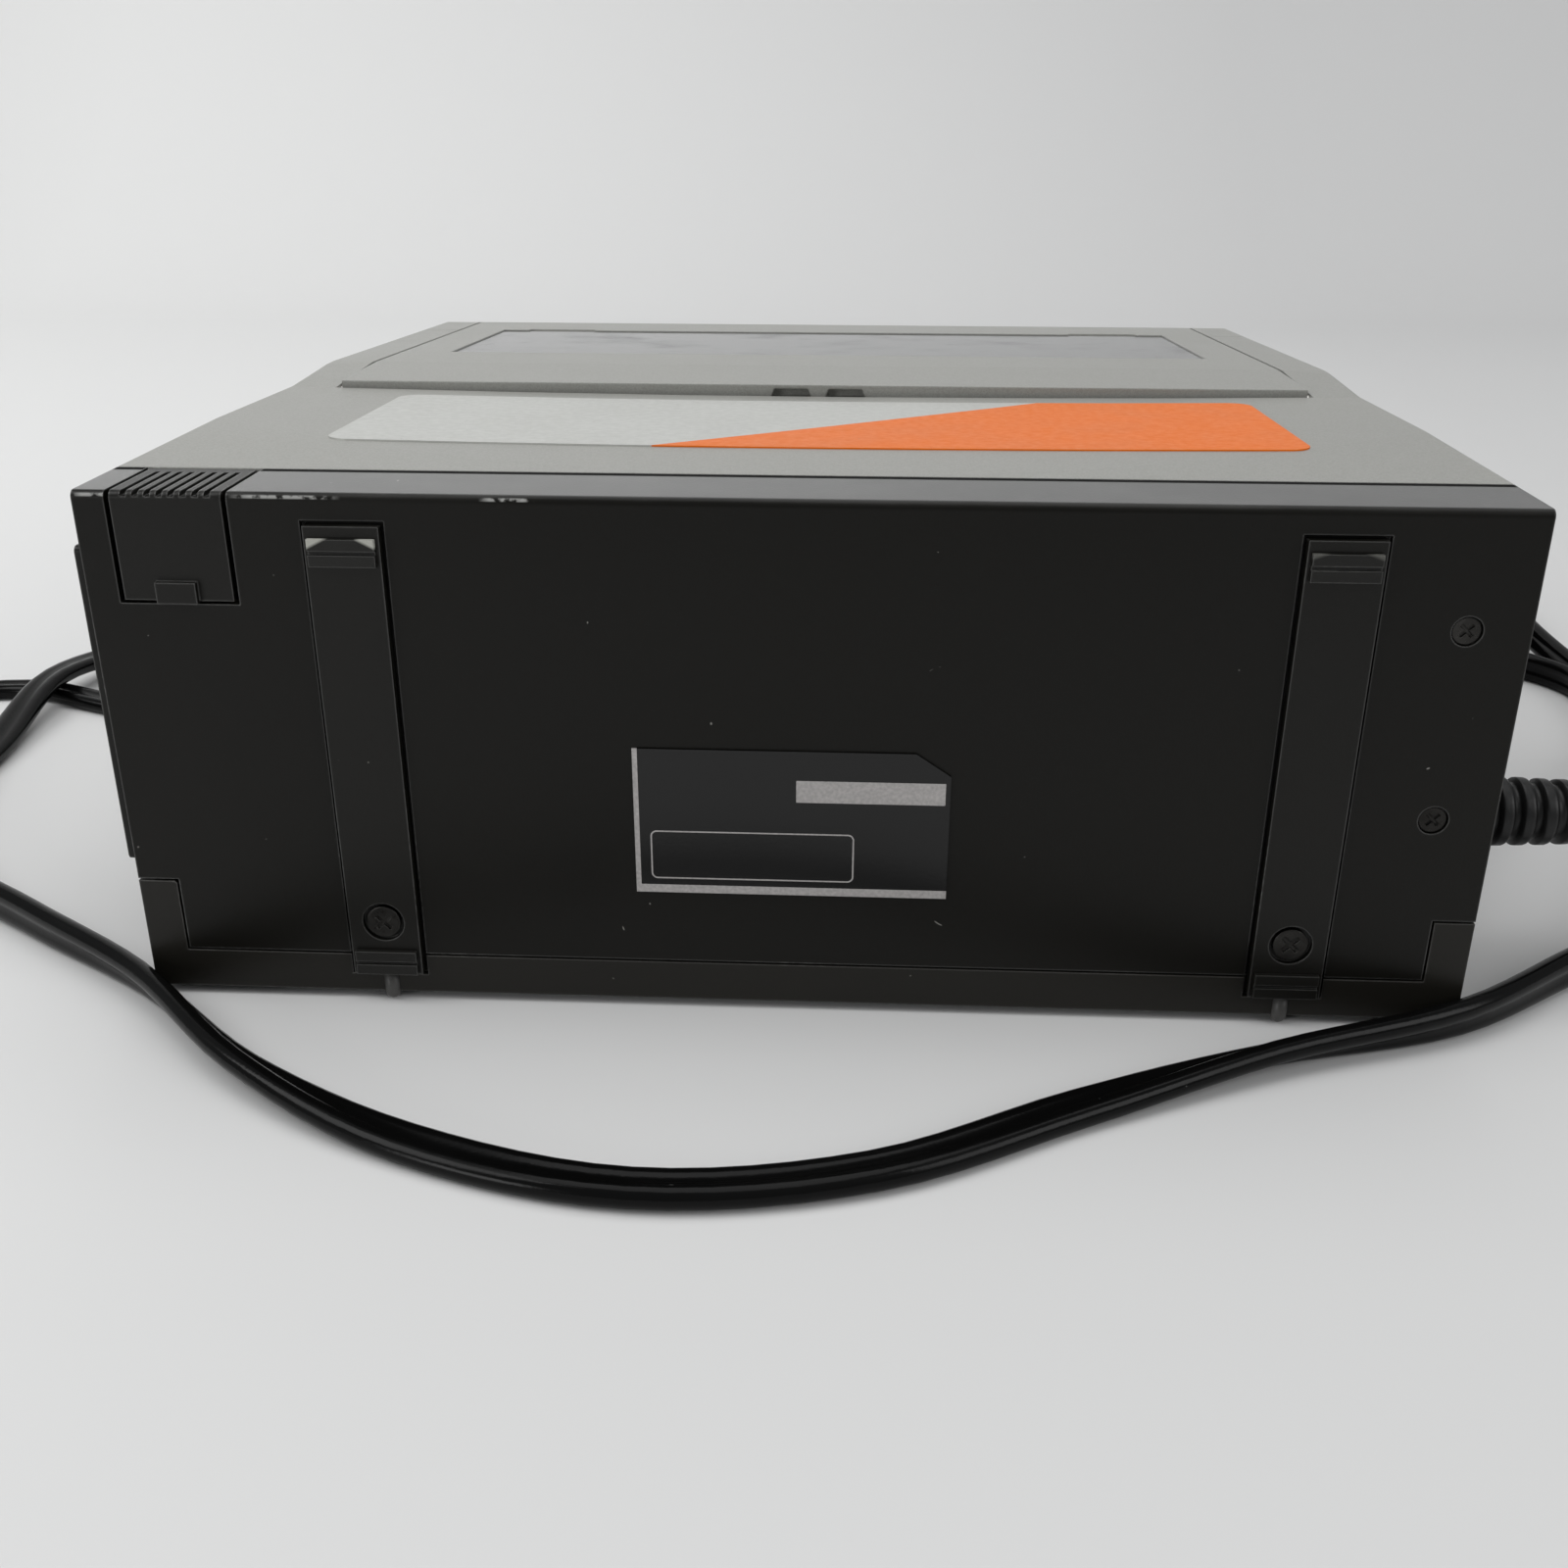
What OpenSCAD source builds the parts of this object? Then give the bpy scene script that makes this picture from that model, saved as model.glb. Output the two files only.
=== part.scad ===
// Portable top-loading video cassette recorder with its power lead.
// The origin is the middle of the outline on the floor: the controls face -Y, the rear panel +Y.
// Left and right are those of someone at the controls, so right is +X.
// Most places are given as a distance from the rear panel and a height above the case bottom.

/* [Case] */
// Width of the case
body_w = 215; // [212:1:224]
// Depth from the control face to the rear panel
body_d = 245; // [240:1:262]
// Height of the case at the rear, without its feet
body_h = 83.8; // [82:0.2:92]
// Wall thickness of the moulded shells
wall = 2.4; // [2:0.1:3]
// Visible seam between neighbouring mouldings
seam = 0.4; // [0.3:0.05:0.8]
// Height of the feet
foot_h = 1.6; // [1.2:0.1:3]
// Fall of the top between its bend and the front edge of the lid
top_fall = 4.4; // [2:0.2:6]
// Distance of the bend in the top from the rear panel
bend_d = 125.5; // [118:0.5:135]
// Depth of the rear shell's return over the top
strip_d = 16.3; // [15.8:0.1:18]
// Depth of the dished top at the lid's rear edge
dish = 2; // [1:0.1:2.4]
// Radius of the dish across the case
dish_r = 5700; // [5000:100:9000]
// Height of the tray's side walls
sill_h = 17.5; // [16:0.5:19]
// Height of the shadow groove above the tray
groove_h = 3.5; // [3:0.1:4.2]
// Height of the top cover's sides
cover_side = 8.9; // [8.3:0.1:10.8]

/* [Cassette and lid] */
// Room between the cassette and each side of the case
side_room = 13.8; // [13.4:0.1:16]
// Room between the cassette and the rear panel
rear_room = 113.6; // [112:0.1:115]
// Room between the cassette and the control face
front_room = 28; // [27:0.1:30]
// Thickness of the cassette
cassette_h = 25; // [24.6:0.1:25.4]
// Play round the cassette in its holder
cassette_play = 0.6; // [0.4:0.1:0.8]
// Sheet thickness of the holder
holder_t = 1; // [0.8:0.1:1.2]
// Wall thickness of the lid's rim
lid_wall = 2.1; // [1.8:0.1:2.4]
// Thickness of the lid's top
lid_t = 2.6; // [2.4:0.1:3]
// Gap round the lid
lid_gap = 0.8; // [0.6:0.1:1]
// Distance of the lid's rear edge from the rear panel
lid_rear = 100; // [98:0.5:102]
// Depth of the control face in front of the lid
control_d = 18.5; // [17:0.5:20]
// Length of the smoked window, front to back
window_d = 58; // [45:1:62]
// Margin of the lid beside the window
window_side = 11; // [9:0.5:16]
// Radius of the lid's hinge pins
pin_r = 1.5; // [1.2:0.1:1.6]

/* [Rear panel] */
// Width of each foot rail
rail_w = 11.4; // [10:0.2:13]
// Distance of the right rail from the right side of the case
rail_inset = 40.2; // [37.5:0.1:45.5]
// Distance of the left rail from the left side of the case
left_rail_inset = 28.5; // [23.5:0.1:32.5]
// Distance of the rails' upper ends below the top
rail_drop = 4.6; // [4:0.1:8]
// How far a rail stands out of the panel
rail_out = 1; // [0.6:0.1:1.6]
// How far a rubber pad stands out of its rail
pad_out = 0.8; // [0.5:0.1:1.5]
// Width of the aerial-switch door
door_w = 16.8; // [15:0.2:18]
// Height of the aerial-switch door on the rear panel
door_h = 16.6; // [14:0.2:18]
// Gap beside the aerial-switch door
door_gap = 0.8; // [0.5:0.1:1.1]
// Number of grip ribs on the aerial-switch door
door_ribs = 9; // [5:1:10]
// Width of the rating plate
plate_w = 49.5; // [40:0.5:56]
// Height of the rating plate
plate_h = 24.8; // [18:0.2:28]

/* [Controls] */
// Width of one key
key_w = 22; // [18:0.5:23]
// Height of one key on the sloping face
key_l = 11; // [9:0.5:12]
// Distance from one key to the next
key_pitch = 24.5; // [24:0.1:26]
// Travel of a key
key_travel = 2; // [1:0.1:2.2]
// Radius of the tracking knob
knob_r = 7; // [5:0.5:8]
// How far the tracking knob stands out
knob_out = 4; // [3:0.5:6]
// Travel of the power switch
power_travel = 6; // [4:0.5:8]

/* [Deck] */
// Radius of the head drum
drum_r = 31; // [29:0.5:32]
// Height of each half of the drum
drum_h = 10.4; // [9:0.2:11]
// Tilt of the drum's axis
drum_tilt = 5.5; // [4:0.1:6]
// Distance between the two reel spindles
reel_spacing = 92; // [90:0.5:94]
// Radius of a reel table
reel_r = 18; // [16:0.5:20]
// Radius of the capstan
capstan_r = 1.5; // [1.2:0.1:2]
// Radius of the flywheel
flywheel_r = 24; // [20:0.5:26]
// Sheet thickness of the deck
deck_t = 1.5; // [1.2:0.1:2]
// Length of the battery pack
battery_l = 182; // [170:1:184]
// Width of the battery pack
battery_w = 60; // [50:1:61]
// Thickness of the battery pack
battery_h = 23.4; // [20:0.2:24]

/* [Lead] */
// Width of the flat two-core lead
cord_w = 7.1; // [6:0.1:7.4]
// Thickness of the flat lead
cord_t = 3.6; // [3:0.1:3.8]
// Radius of the strain relief at the case
boot_r = 6.3; // [5.5:0.1:6.8]
// Radius of the lead's plug
plug_r = 5.5; // [4.5:0.1:6]

/* [Hidden] */
$fn = 64;

// Colours
case_black = [0.15, 0.15, 0.14];
tray_black = [0.17, 0.165, 0.15];
cover_grey = [0.62, 0.62, 0.59];
rubber_black = [0.06, 0.06, 0.06];
steel = [0.72, 0.73, 0.74];
zinc = [0.8, 0.78, 0.68];
brass = [0.8, 0.66, 0.35];
board_green = [0.1, 0.3, 0.16];

// Small clearances shared by several pieces
slip = 0.3;          // between pieces that slide past each other
run = 0.05;          // radial clearance of a turning shaft
holder_slip = 0.35;  // between the holder and the lid's rim
eps = 0.02;          // overlap of shapes that are fused
over = 1;            // how far a cut reaches past what it cuts

// Case
y_rear = (body_d + knob_out - rail_out - pad_out) / 2;
inner_w = body_w - 2 * wall;
side_x = body_w / 2;
inner_x = inner_w / 2;
band_h = 6.8;                      // height of the tray across the rear
post_w = 6.3;                      // width of the tray's rear corner posts
post_h = [sill_h, sill_h + 2];     // height of the left and the right corner post
lip_in = 1.2;                      // how far the tray's locating lip stands back
groove_top = sill_h + groove_h;
skirt_h = body_h - cover_side;     // joint between the side panels and the top cover
edge_r = 1.2;                      // rounding of the rear top edge
foot_peg = 1.6;                    // radius of the pegs that hold the feet
peg_h = 1.4;
slot_pitch = 8;                    // from one cooling slot to the next
rear_foot_d = 8;                   // pegs of the rear and front feet, from the rear panel
front_foot_d = body_d - 16;
foot_x = side_x - 17.5;
foot_r = 6;
rail_low = 3.8;                    // height of the foot rails' lower ends
rail_h = body_h - rail_drop - rail_low;
rail_in = 1.2;                     // depth of the rails' pockets
rail_gap = 0.6;                    // gap round a rail in its pocket
rail_screw_h = 13.4;
rails_at = [side_x - rail_inset, left_rail_inset - side_x];
rear_screw_x = -side_x + 9.4;
rear_screw_h = [35.3, skirt_h - 9.2];
door_high_x = side_x - 5.7;        // sides of the aerial-switch door
door_low_x = door_high_x - door_w;
door_x = door_low_x + door_w / 2;
door_sides = [door_low_x - door_gap, door_high_x + door_gap];
door_hinge_d = strip_d - 1.35;
door_hinge_h = body_h - 1.1;
door_hinge_r = 0.7;
rf_low = body_h - 31.8;            // aerial-switch box inside the case
rf_d = [4.5, 15.2];
raised = 2.5;                      // how far the right side panel stands proud

// Lid, holder and the opening for them
lid_front = body_d - control_d;
cassette_w = body_w - 2 * side_room;
cassette_d = body_d - front_room - rear_room;
holder_in = cassette_w + 2 * cassette_play;
holder_out = holder_in + 2 * holder_t;
lid_w = holder_out + 2 * (holder_slip + lid_wall);
opening_x = lid_w / 2 + lid_gap;
cover_d = strip_d + seam;          // where the top cover starts
cover_end = lid_rear - 1.8;        // where its plate ends behind the lid
arm_d = lid_front - 23.5;          // where the control face's arms meet it
rim_t = 1.6;
rim_low = skirt_h - 1;
lid_low = skirt_h + 0.2;           // lower edge of the lid's rim
hinge_d = lid_rear + 2.2;
hinge_h = body_h - 2.8;
dish_a = atan2(dish, cover_end - strip_d);
rise_d = 46;                       // length over which the dish would rise again beside the lid
rise_a = atan2(dish, rise_d);
holder_front = body_d - front_room;
holder_rear = holder_front - cassette_d - cassette_play;
holder_top = top_h(holder_front) - lid_t - slip;
tape_top = holder_top - holder_t;                       // top of the cassette's space
tape_low = tape_top - cassette_h - cassette_play;       // floor of that space
holder_low = tape_low - holder_t;
window_rear = lid_rear + 47;
window_front = window_rear + window_d;
window_w = lid_w - 2 * window_side;
window_seat = 1.6;                 // depth of the window's seat

// Control face
control_back = lid_front + 0.7;
slope_h = body_h - 33.8;           // height at which the face starts to lean back
slope_rise = top_h(control_back) - slope_h;
slope_run = body_d - control_back;
slope_a = atan2(slope_rise, slope_run);
control_h = (groove_top + slope_h + 1) / 2;  // middle of the window, power switch and knob
window_x = 30;                     // half the display window's width
power_x = [-82, -74];              // sides of the power switch
power_r = 2.5;                     // half the power switch's height
knob_x = 76;
knob_shaft_r = 3;
key_up = 15;                       // from the foot of the slope to the keys' middle
key_in = 2.5;                      // depth of a key behind the wall

// Deck
deck_top = holder_low - 1.6;
deck_low = deck_top - deck_t;
reel_d = holder_rear + 55;
reel_x = reel_spacing / 2;
drum_d = holder_rear - 51;
capstan_at = [62, holder_rear - 9];
motor_at = [72, drum_d - 14];
roller_r = 6;
roller_shaft_r = 1.2;
roller_gap = 2.4;                  // from roller to capstan with no tape
roller_away = capstan_r + roller_r + roller_gap;
roller_at = [capstan_at[0] + 0.6 * roller_away, capstan_at[1] - 0.8 * roller_away];
pinch_l = 14;                      // from the roller to its arm's pivot
pinch_at = [roller_at[0] + 0.8 * pinch_l, roller_at[1] + 0.6 * pinch_l];
drum_seat = 5.5;                   // height of the lower drum's foot above the deck
drum_shaft_r = 2.5;
reel_shaft_r = 1.6;
pivot_r = 1.5;                     // posts that the idler and the pinch arm turn on
bearing_r = 5;                     // of the capstan's bearing
pulley_r = 4;
motor_shaft_r = 1;
belt_seat = 1.5;                   // depth of the belt's grooves
idler_r = 12;
idler_reach = reel_r + idler_r + 0.4;
idler_at = [reel_x - idler_reach * 0.8, reel_d - idler_reach * 0.6];
belt_h = deck_low - 6;             // height of the belt
deck_x = inner_x - 10.1;           // half the deck's width
deck_d = [drum_d - 42, holder_front + 2];
deck_flange = 5;                   // depth of the flanges along the deck's sides
board_h = deck_low - 22.2;
board_t = 1.6;

// Battery bay behind the right side
door_pin_d = body_d - wall - wall / 2 - slip;
battery_front = door_pin_d - wall / 2 - 0.4;
battery_rear = battery_front - battery_w;
battery_low = wall;
battery_rib_h = 18;
door_pin_r = 1;
door_pin_low = 1;
battery_x = inner_x - 0.8;         // outer end of the pack
doorway = [battery_rear - 0.6, body_d - wall];
doorway_h = [wall, battery_low + battery_h + 0.6];

// Main board, and the posts of the deck that pass it
board_x = inner_x - 7.1;           // half the board's width
board_d = [16, battery_rear - 4.5];
post_at = [[inner_x - 17.1, drum_d - 36], [inner_x - 17.1, battery_rear - 7.5]];
post_r = 4;

// Strap eyes
eye_r = 3.5;
eye_rim = 2.5;
eye_t = 3;
eye_d = 110;
eye_h = skirt_h - 10.9;

// Lead: route points are [x, y, z, roll of the flat section], z above the floor
boot_d = 24;
boot_h = 26.6;
boot_neck_r = 3.5;                 // where it passes the case
boot_straight = 18;
boot_bend = 24;
boot_turn = 60;

function top_h(d) = d < bend_d ? body_h : body_h - (d - bend_d) * top_fall / (lid_front - bend_d);
function slope_line(d) = slope_h + (body_d - d) * slope_rise / slope_run;

// Box between two x values, two distances from the rear panel and two heights above the case bottom
module block(x, d, h)
    translate([x[0], y_rear - d[1], foot_h + h[0]])
        cube([x[1] - x[0], d[1] - d[0], h[1] - h[0]]);

// The same box, w wide about the middle of the case
module middle_block(w, d, h)
    block([-w / 2, w / 2], d, h);

// Moves its children to x, a distance from the rear panel and a height above the case bottom
module place(x, d, h)
    translate([x, y_rear - d, foot_h + h])
        children();

// Extrudes an outline of (-distance from the rear panel, height) between two x values
module across(x)
    translate([x[0], y_rear, foot_h])
        rotate([90, 0, 90])
            linear_extrude(x[1] - x[0])
                children();

module both_sides() {
    children();
    mirror([1, 0, 0])
        children();
}

// Cylinder along X between two x values
module rod_x(r, x, d, h)
    place(x[0], d, h)
        rotate([0, 90, 0])
            cylinder(r = r, h = x[1] - x[0]);

// Cylinder along Y between two distances from the rear panel
module rod_y(r, x, d, h)
    place(x, d[0], h)
        rotate([90, 0, 0])
            cylinder(r = r, h = d[1] - d[0]);

// Cylinder along Z between two heights
module rod_z(r, x, d, h)
    place(x, d, h[0])
        cylinder(r = r, h = h[1] - h[0]);

// The places where the top line has a corner between two distances
function stations(d) = concat([d[0]], d[0] < bend_d && bend_d < d[1] ? [bend_d] : [], [d[1]]);

// Slab that follows the top line, between two drops below it
module top_slab(x, d, drop) {
    s = stations(d);
    upper = [for (v = s) [-v, top_h(v) - drop[0]]];
    lower = [for (i = [len(s) - 1:-1:0]) [-s[i], top_h(s[i]) - drop[1]]];
    across(x)
        polygon(concat(upper, lower));
}

// Solid between a level floor and the top line
module under_top(x, d, low, drop = 0) {
    upper = [for (v = stations(d)) [-v, top_h(v) - drop]];
    across(x)
        polygon(concat(upper, [[-d[1], low], [-d[0], low]]));
}

// Rounded outline made of two squares and four circles
module soft_square(size, r) {
    translate([r, 0])
        square([size[0] - 2 * r, size[1]]);
    translate([0, r])
        square([size[0], size[1] - 2 * r]);
    for (x = [r, size[0] - r], y = [r, size[1] - r])
        translate([x, y])
            circle(r);
}

// ---------------------------------------------------------------- case

// Hole that the battery door closes, through tray and side panel
module battery_doorway()
    block([inner_x - eps, side_x + raised + over], doorway, doorway_h);

module tray_lip() difference() {
    middle_block(body_w - 2 * lip_in, [wall + seam, body_d - lip_in], [sill_h - 1, groove_top]);
    middle_block(inner_w, [0, body_d - wall], [0, groove_top + 1]);
}

module deck_posts()
    for (at = post_at)
        both_sides()
            difference() {
                rod_z(post_r, at[0], at[1], [wall - eps, deck_low]);
                rod_z(1.25, at[0], at[1], [deck_low - 12, deck_low + over]);
            }

// Rear corner post with its chamfered inner corner
module corner_post(side) {
    h = post_h[side > 0 ? 1 : 0];
    cut = 0.4;
    outline = [[0, 0], [post_w, 0], [post_w, h - cut], [post_w - cut, h], [0, h]];
    place(side * side_x, 0, 0)
        mirror([side > 0 ? 1 : 0, 0, 0])
            rotate([90, 0, 0])
                linear_extrude(wall)
                    polygon(outline);
}

module bottom_shell() color(tray_black) difference() {
    union() {
        difference() {
            middle_block(body_w, [0, body_d], [0, sill_h]);
            middle_block(inner_w, [wall, body_d - wall], [wall, sill_h + over]);
            middle_block(body_w - 2 * post_w, [-over, wall + eps], [band_h, sill_h + over]);
        }
        for (side = [-1, 1])
            corner_post(side);
        tray_lip();
        deck_posts();
        // ledge that carries the rear shell
        middle_block(body_w - 2 * post_w - 10, [wall - eps, wall + 1.6], [wall - eps, band_h]);
        middle_block(body_w - 2 * post_w - 10, [wall + slip, wall + 1.6], [band_h - eps, band_h + 1.2]);
        // pillars under the circuit board
        for (d = [board_d[0] + 14, board_d[1] - 10])
            both_sides()
                rod_z(2.5, 60, d, [wall - eps, board_h]);
        // ribs beside and behind the battery
        middle_block(inner_w - 20, [doorway[0] - 2, doorway[0] - 0.5], [wall - eps, battery_rib_h]);
        block([battery_x - battery_l - 3, battery_x - battery_l - 1.5],
            [doorway[0] - 2, body_d - wall + eps], [wall - eps, battery_rib_h]);
    }
    battery_doorway();
    rail_pockets();
    rod_z(door_pin_r + run, side_x - wall / 2, door_pin_d, [door_pin_low - 0.1, wall + over]);
    // cooling slots under the circuit board
    for (i = [0:9], row = [0, 1])
        block([slot_pitch * (i - 5), slot_pitch * (i - 5) + 2.5], [40 + 50 * row, 72 + 50 * row],
            [-over, wall + over]);
    for (x = rails_at)
        rod_z(foot_peg + run, x, rear_foot_d, [-over, peg_h]);
    both_sides()
        rod_z(foot_peg + run, foot_x, front_foot_d, [-over, peg_h]);
}

// Shallow pockets that the foot rails sit in, across the seam of tray and rear shell
module rail_pockets()
    for (x = rails_at)
        block([x - rail_w / 2 - rail_gap, x + rail_w / 2 + rail_gap], [-over, rail_in],
            [rail_low - rail_gap, rail_low + rail_h + rail_gap]);

module rear_shell() color(case_black) difference() {
    union() {
        difference() {
            across([-side_x, side_x]) {
                translate([-wall, band_h + seam])
                    square([wall, body_h - band_h - seam - edge_r]);
                translate([-strip_d, body_h - wall])
                    square([strip_d - edge_r, wall]);
                translate([-edge_r, body_h - edge_r])
                    circle(edge_r);
            }
            // room for the tray's corner posts
            for (side = [0, 1])
                mirror([1 - side, 0, 0])
                    block([side_x - post_w - seam, side_x + over], [-over, wall + over],
                        [0, post_h[side] + seam]);
        }
        both_sides()
            block([inner_x, side_x], [wall / 2, strip_d], [skirt_h, body_h - wall / 2]);
        // bracket behind the aerial switch
        block([door_low_x, door_high_x], [wall - eps, rf_d[0]], [rf_low + 1, rf_low + 11]);
        // bosses beside the aerial door for its hinge
        for (x = [[door_sides[0] - 3, door_sides[0]], [door_sides[1], inner_x + eps]])
            block(x, [strip_d - 4, strip_d], [body_h - 5, body_h - wall + eps]);
        // pads behind the rail screws
        for (x = rails_at)
            rod_y(5, x, [wall - eps, 7], rail_screw_h);
    }
    // opening of the aerial door
    block(door_sides, [-2, strip_d + over], [body_h - door_h - 0.5, body_h + over]);
    rod_x(door_hinge_r + run, [door_sides[0] - 1.4, door_sides[1] + 1.4], door_hinge_d, door_hinge_h);
    rail_pockets();
    for (x = rails_at)
        rod_y(1.4, x, [-over, 8], rail_screw_h);
    for (h = rear_screw_h) {
        rod_y(1.5, rear_screw_x, [-over, wall + over], h);
        rod_y(2.3, rear_screw_x, [-over, 1.2], h);
    }
}

// Wide cylinder whose lowest line falls from the rear shell to the lid
module dish_tool(extra, end_d)
    place(0, strip_d, body_h)
        rotate([dish_a, 0, 0])
            translate([0, 5, dish_r])
                rotate([90, 0, 0])
                    cylinder(r = dish_r + extra, h = end_d - strip_d + 5, $fn = 1440);

// What the dish takes off beside the lid, where it rises again until it meets the top
module rise_tool()
    intersection() {
        place(0, cover_end, body_h - dish)
            rotate([-rise_a, 0, 0])
                translate([0, 0, dish_r])
                    rotate([90, 0, 0])
                        cylinder(r = dish_r, h = rise_d, $fn = 1440);
        both_sides()
            block([opening_x - over, side_x + over], [cover_end - over, cover_end + rise_d],
                [body_h - dish - over, body_h + over]);
    }

// Channel beside the lid: top, outer skirt and the rim of the lid's opening
module side_strip(d) {
    top_slab([opening_x, side_x], d, [0, wall]);
    under_top([inner_x, side_x], d, skirt_h);
    under_top([opening_x, opening_x + rim_t], d, rim_low);
}

module top_cover() color(cover_grey) difference() {
    union() {
        difference() {
            union() {
                middle_block(body_w, [cover_d, cover_end], [body_h - dish - wall - 1, body_h]);
                middle_block(body_w, [cover_d, cover_end], [skirt_h, body_h - wall]);
            }
            difference() {
                middle_block(inner_w, [cover_d - over, cover_end + over], [skirt_h - over, body_h - wall]);
                dish_tool(wall, lid_rear + 6);
            }
        }
        both_sides()
            side_strip([cover_end - 2, arm_d]);
        // rim behind the lid
        middle_block(2 * opening_x + 2 * rim_t, [cover_end - rim_t, cover_end], [rim_low, body_h - 1]);
        // blocks that hold the hinge pins
        both_sides()
            block([opening_x, inner_x + eps], [hinge_d - 4, hinge_d + 4],
                [hinge_h - 3.2, body_h - wall + eps]);
    }
    dish_tool(0, cover_end + 0.1);
    rise_tool();
    both_sides()
        rod_x(pin_r + 0.02, [opening_x - over, inner_x - 0.6], hinge_d, hinge_h);
}

// Outline of the control face, t inside its outer surface
module control_outline(t, back)
    polygon([
        [-back, groove_top - t], [-body_d + t, groove_top - t],
        [-body_d + t, slope_line(body_d - t) - t / cos(slope_a)],
        [-back, slope_line(back) - t / cos(slope_a)]
    ]);

// Puts its children on the slope: x along the face, y up it, z straight out of it
module on_slope(x, up)
    place(x, body_d, slope_h)
        rotate([slope_a, 0, 0])
            translate([0, up, 0])
                children();

module front_panel() color(cover_grey) difference() {
    union() {
        difference() {
            across([-side_x, side_x])
                control_outline(0, control_back);
            across([-inner_x, inner_x])
                control_outline(wall, control_back - 1);
        }
        both_sides()
            side_strip([arm_d + seam, control_back]);
    }
    for (i = [0:6])
        on_slope((i - 3) * key_pitch, key_up)
            translate([-key_w / 2 - slip, -key_l / 2 - slip, -wall - 1])
                cube([key_w + 2 * slip, key_l + 2 * slip, wall + 2]);
    battery_doorway();
    rod_z(door_pin_r + run, side_x - wall / 2, door_pin_d, [doorway_h[1] - over, doorway_h[1] + 2.2]);
    // window, power switch and tracking knob
    middle_block(2 * window_x, [body_d - 1.5, body_d + over], [control_h - 8, control_h + 8]);
    middle_block(2 * window_x - 8, [body_d - wall - over, body_d], [control_h - 5, control_h + 5]);
    block([power_x[0] - slip, power_x[1] + power_travel + slip], [body_d - wall - over, body_d + over],
        [control_h - power_r - slip, control_h + power_r + slip]);
    rod_y(knob_shaft_r + run, knob_x, [body_d - wall - over, body_d + over], control_h);
}

module raised_outline(d, h, r)
    translate([-d[1], h[0]])
        soft_square([d[1] - d[0], h[1] - h[0]], r);

module right_side_panel() color(case_black) difference() {
    union() {
        block([inner_x, side_x], [wall + seam, control_back - seam], [groove_top, skirt_h - seam]);
        across([side_x - eps, side_x + raised])
            raised_outline([3, control_back - 6], [groove_top + 0.7, skirt_h - seam], 1);
    }
    battery_doorway();
}

// Sockets on the left side: a row of four phono jacks and one round camera socket
jack_d = [128, 143, 158, 173];
jack_h = 34;
jack_r = 4.2;
camera_d = 105;
camera_h = 40;
camera_r = 9.2;
module left_side_panel() color(case_black) difference() {
    union() {
        block([-side_x, -inner_x], [wall + seam, control_back - seam], [groove_top, skirt_h - seam]);
        for (h = rear_screw_h) {
            rod_y(3.2, rear_screw_x, [wall + seam, 14], h);
            block([-inner_x - eps, rear_screw_x - 1.4], [wall + seam, 14], [h - 1.5, h + 1.5]);
        }
    }
    for (h = rear_screw_h)
        rod_y(1.35, rear_screw_x, [wall, 15], h);
    rod_x(boot_neck_r + 0.1, [-side_x - over, -inner_x + over], boot_d, boot_h);
    for (d = jack_d)
        rod_x(jack_r + 0.1, [-side_x - over, -inner_x + over], d, jack_h);
    rod_x(camera_r + 0.1, [-side_x - over, -inner_x + over], camera_d, camera_h);
}

module feet() color(rubber_black) {
    for (x = rails_at)
        rod_z(foot_peg, x, rear_foot_d, [-foot_h, peg_h]);
    both_sides() {
        rod_z(foot_r, foot_x, front_foot_d, [-foot_h, 0]);
        rod_z(foot_peg, foot_x, front_foot_d, [-eps, peg_h]);
    }
}

// ---------------------------------------------------------------- rear panel

module foot_rail(x) color(case_black) difference() {
    block([x - rail_w / 2, x + rail_w / 2], [-rail_out, rail_in], [rail_low, rail_low + rail_h]);
    rod_y(1.5, x, [-rail_out - over, rail_in + over], rail_screw_h);
    rod_y(3.4, x, [-rail_out - over, 0], rail_screw_h);
}

module right_foot_rail() foot_rail(rails_at[0]);
module left_foot_rail() foot_rail(rails_at[1]);

// Two rubber pads on each rail, with a groove across each
pad_x = rail_w / 2 - 0.65;
pad_h = 4.2;
module rail_pads() color(rubber_black)
    for (x = rails_at, h = [rail_low + 0.2, rail_low + rail_h - 6])
        difference() {
            block([x - pad_x, x + pad_x], [-rail_out - pad_out, -rail_out], [h, h + pad_h]);
            block([x - rail_w, x + rail_w], [-rail_out - pad_out - over, -rail_out - pad_out + 0.5],
                [h + 1.8, h + 2.4]);
        }

// Cross-head screw that looks out of the rear panel
module rear_screw(x, head_d, h, head_r, shank_r, shank_l) difference() {
    union() {
        rod_y(head_r, x, [head_d, head_d + 0.9], h);
        rod_y(shank_r, x, [head_d, head_d + shank_l], h);
    }
    for (turn = [45, 135])
        place(x, head_d, h)
            rotate([0, turn, 0])
                cube([1.2 * head_r, 0.8, 0.25 * head_r], center = true);
}

module rail_screws() color(case_black)
    for (x = rails_at)
        rear_screw(x, -0.9, rail_screw_h, 2.75, 1.35, 8);

module case_screws() color(case_black)
    for (h = rear_screw_h)
        rear_screw(rear_screw_x, 0.3, h, 2.1, 1.3, 12);

// Bare plate with one clipped corner
plate_x = 0.75;
plate_low = 19.9;
module rating_plate() color("black")
    place(plate_x, 0, plate_low)
        rotate([90, 0, 0])
            mirror([0, 0, 1])
                linear_extrude(0.4)
                    polygon([
                        [-plate_w / 2, 0], [plate_w / 2, 0], [plate_w / 2, plate_h],
                        [-plate_w / 2 + 5.5, plate_h], [-plate_w / 2, plate_h - 3.7]
                    ]);

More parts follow.
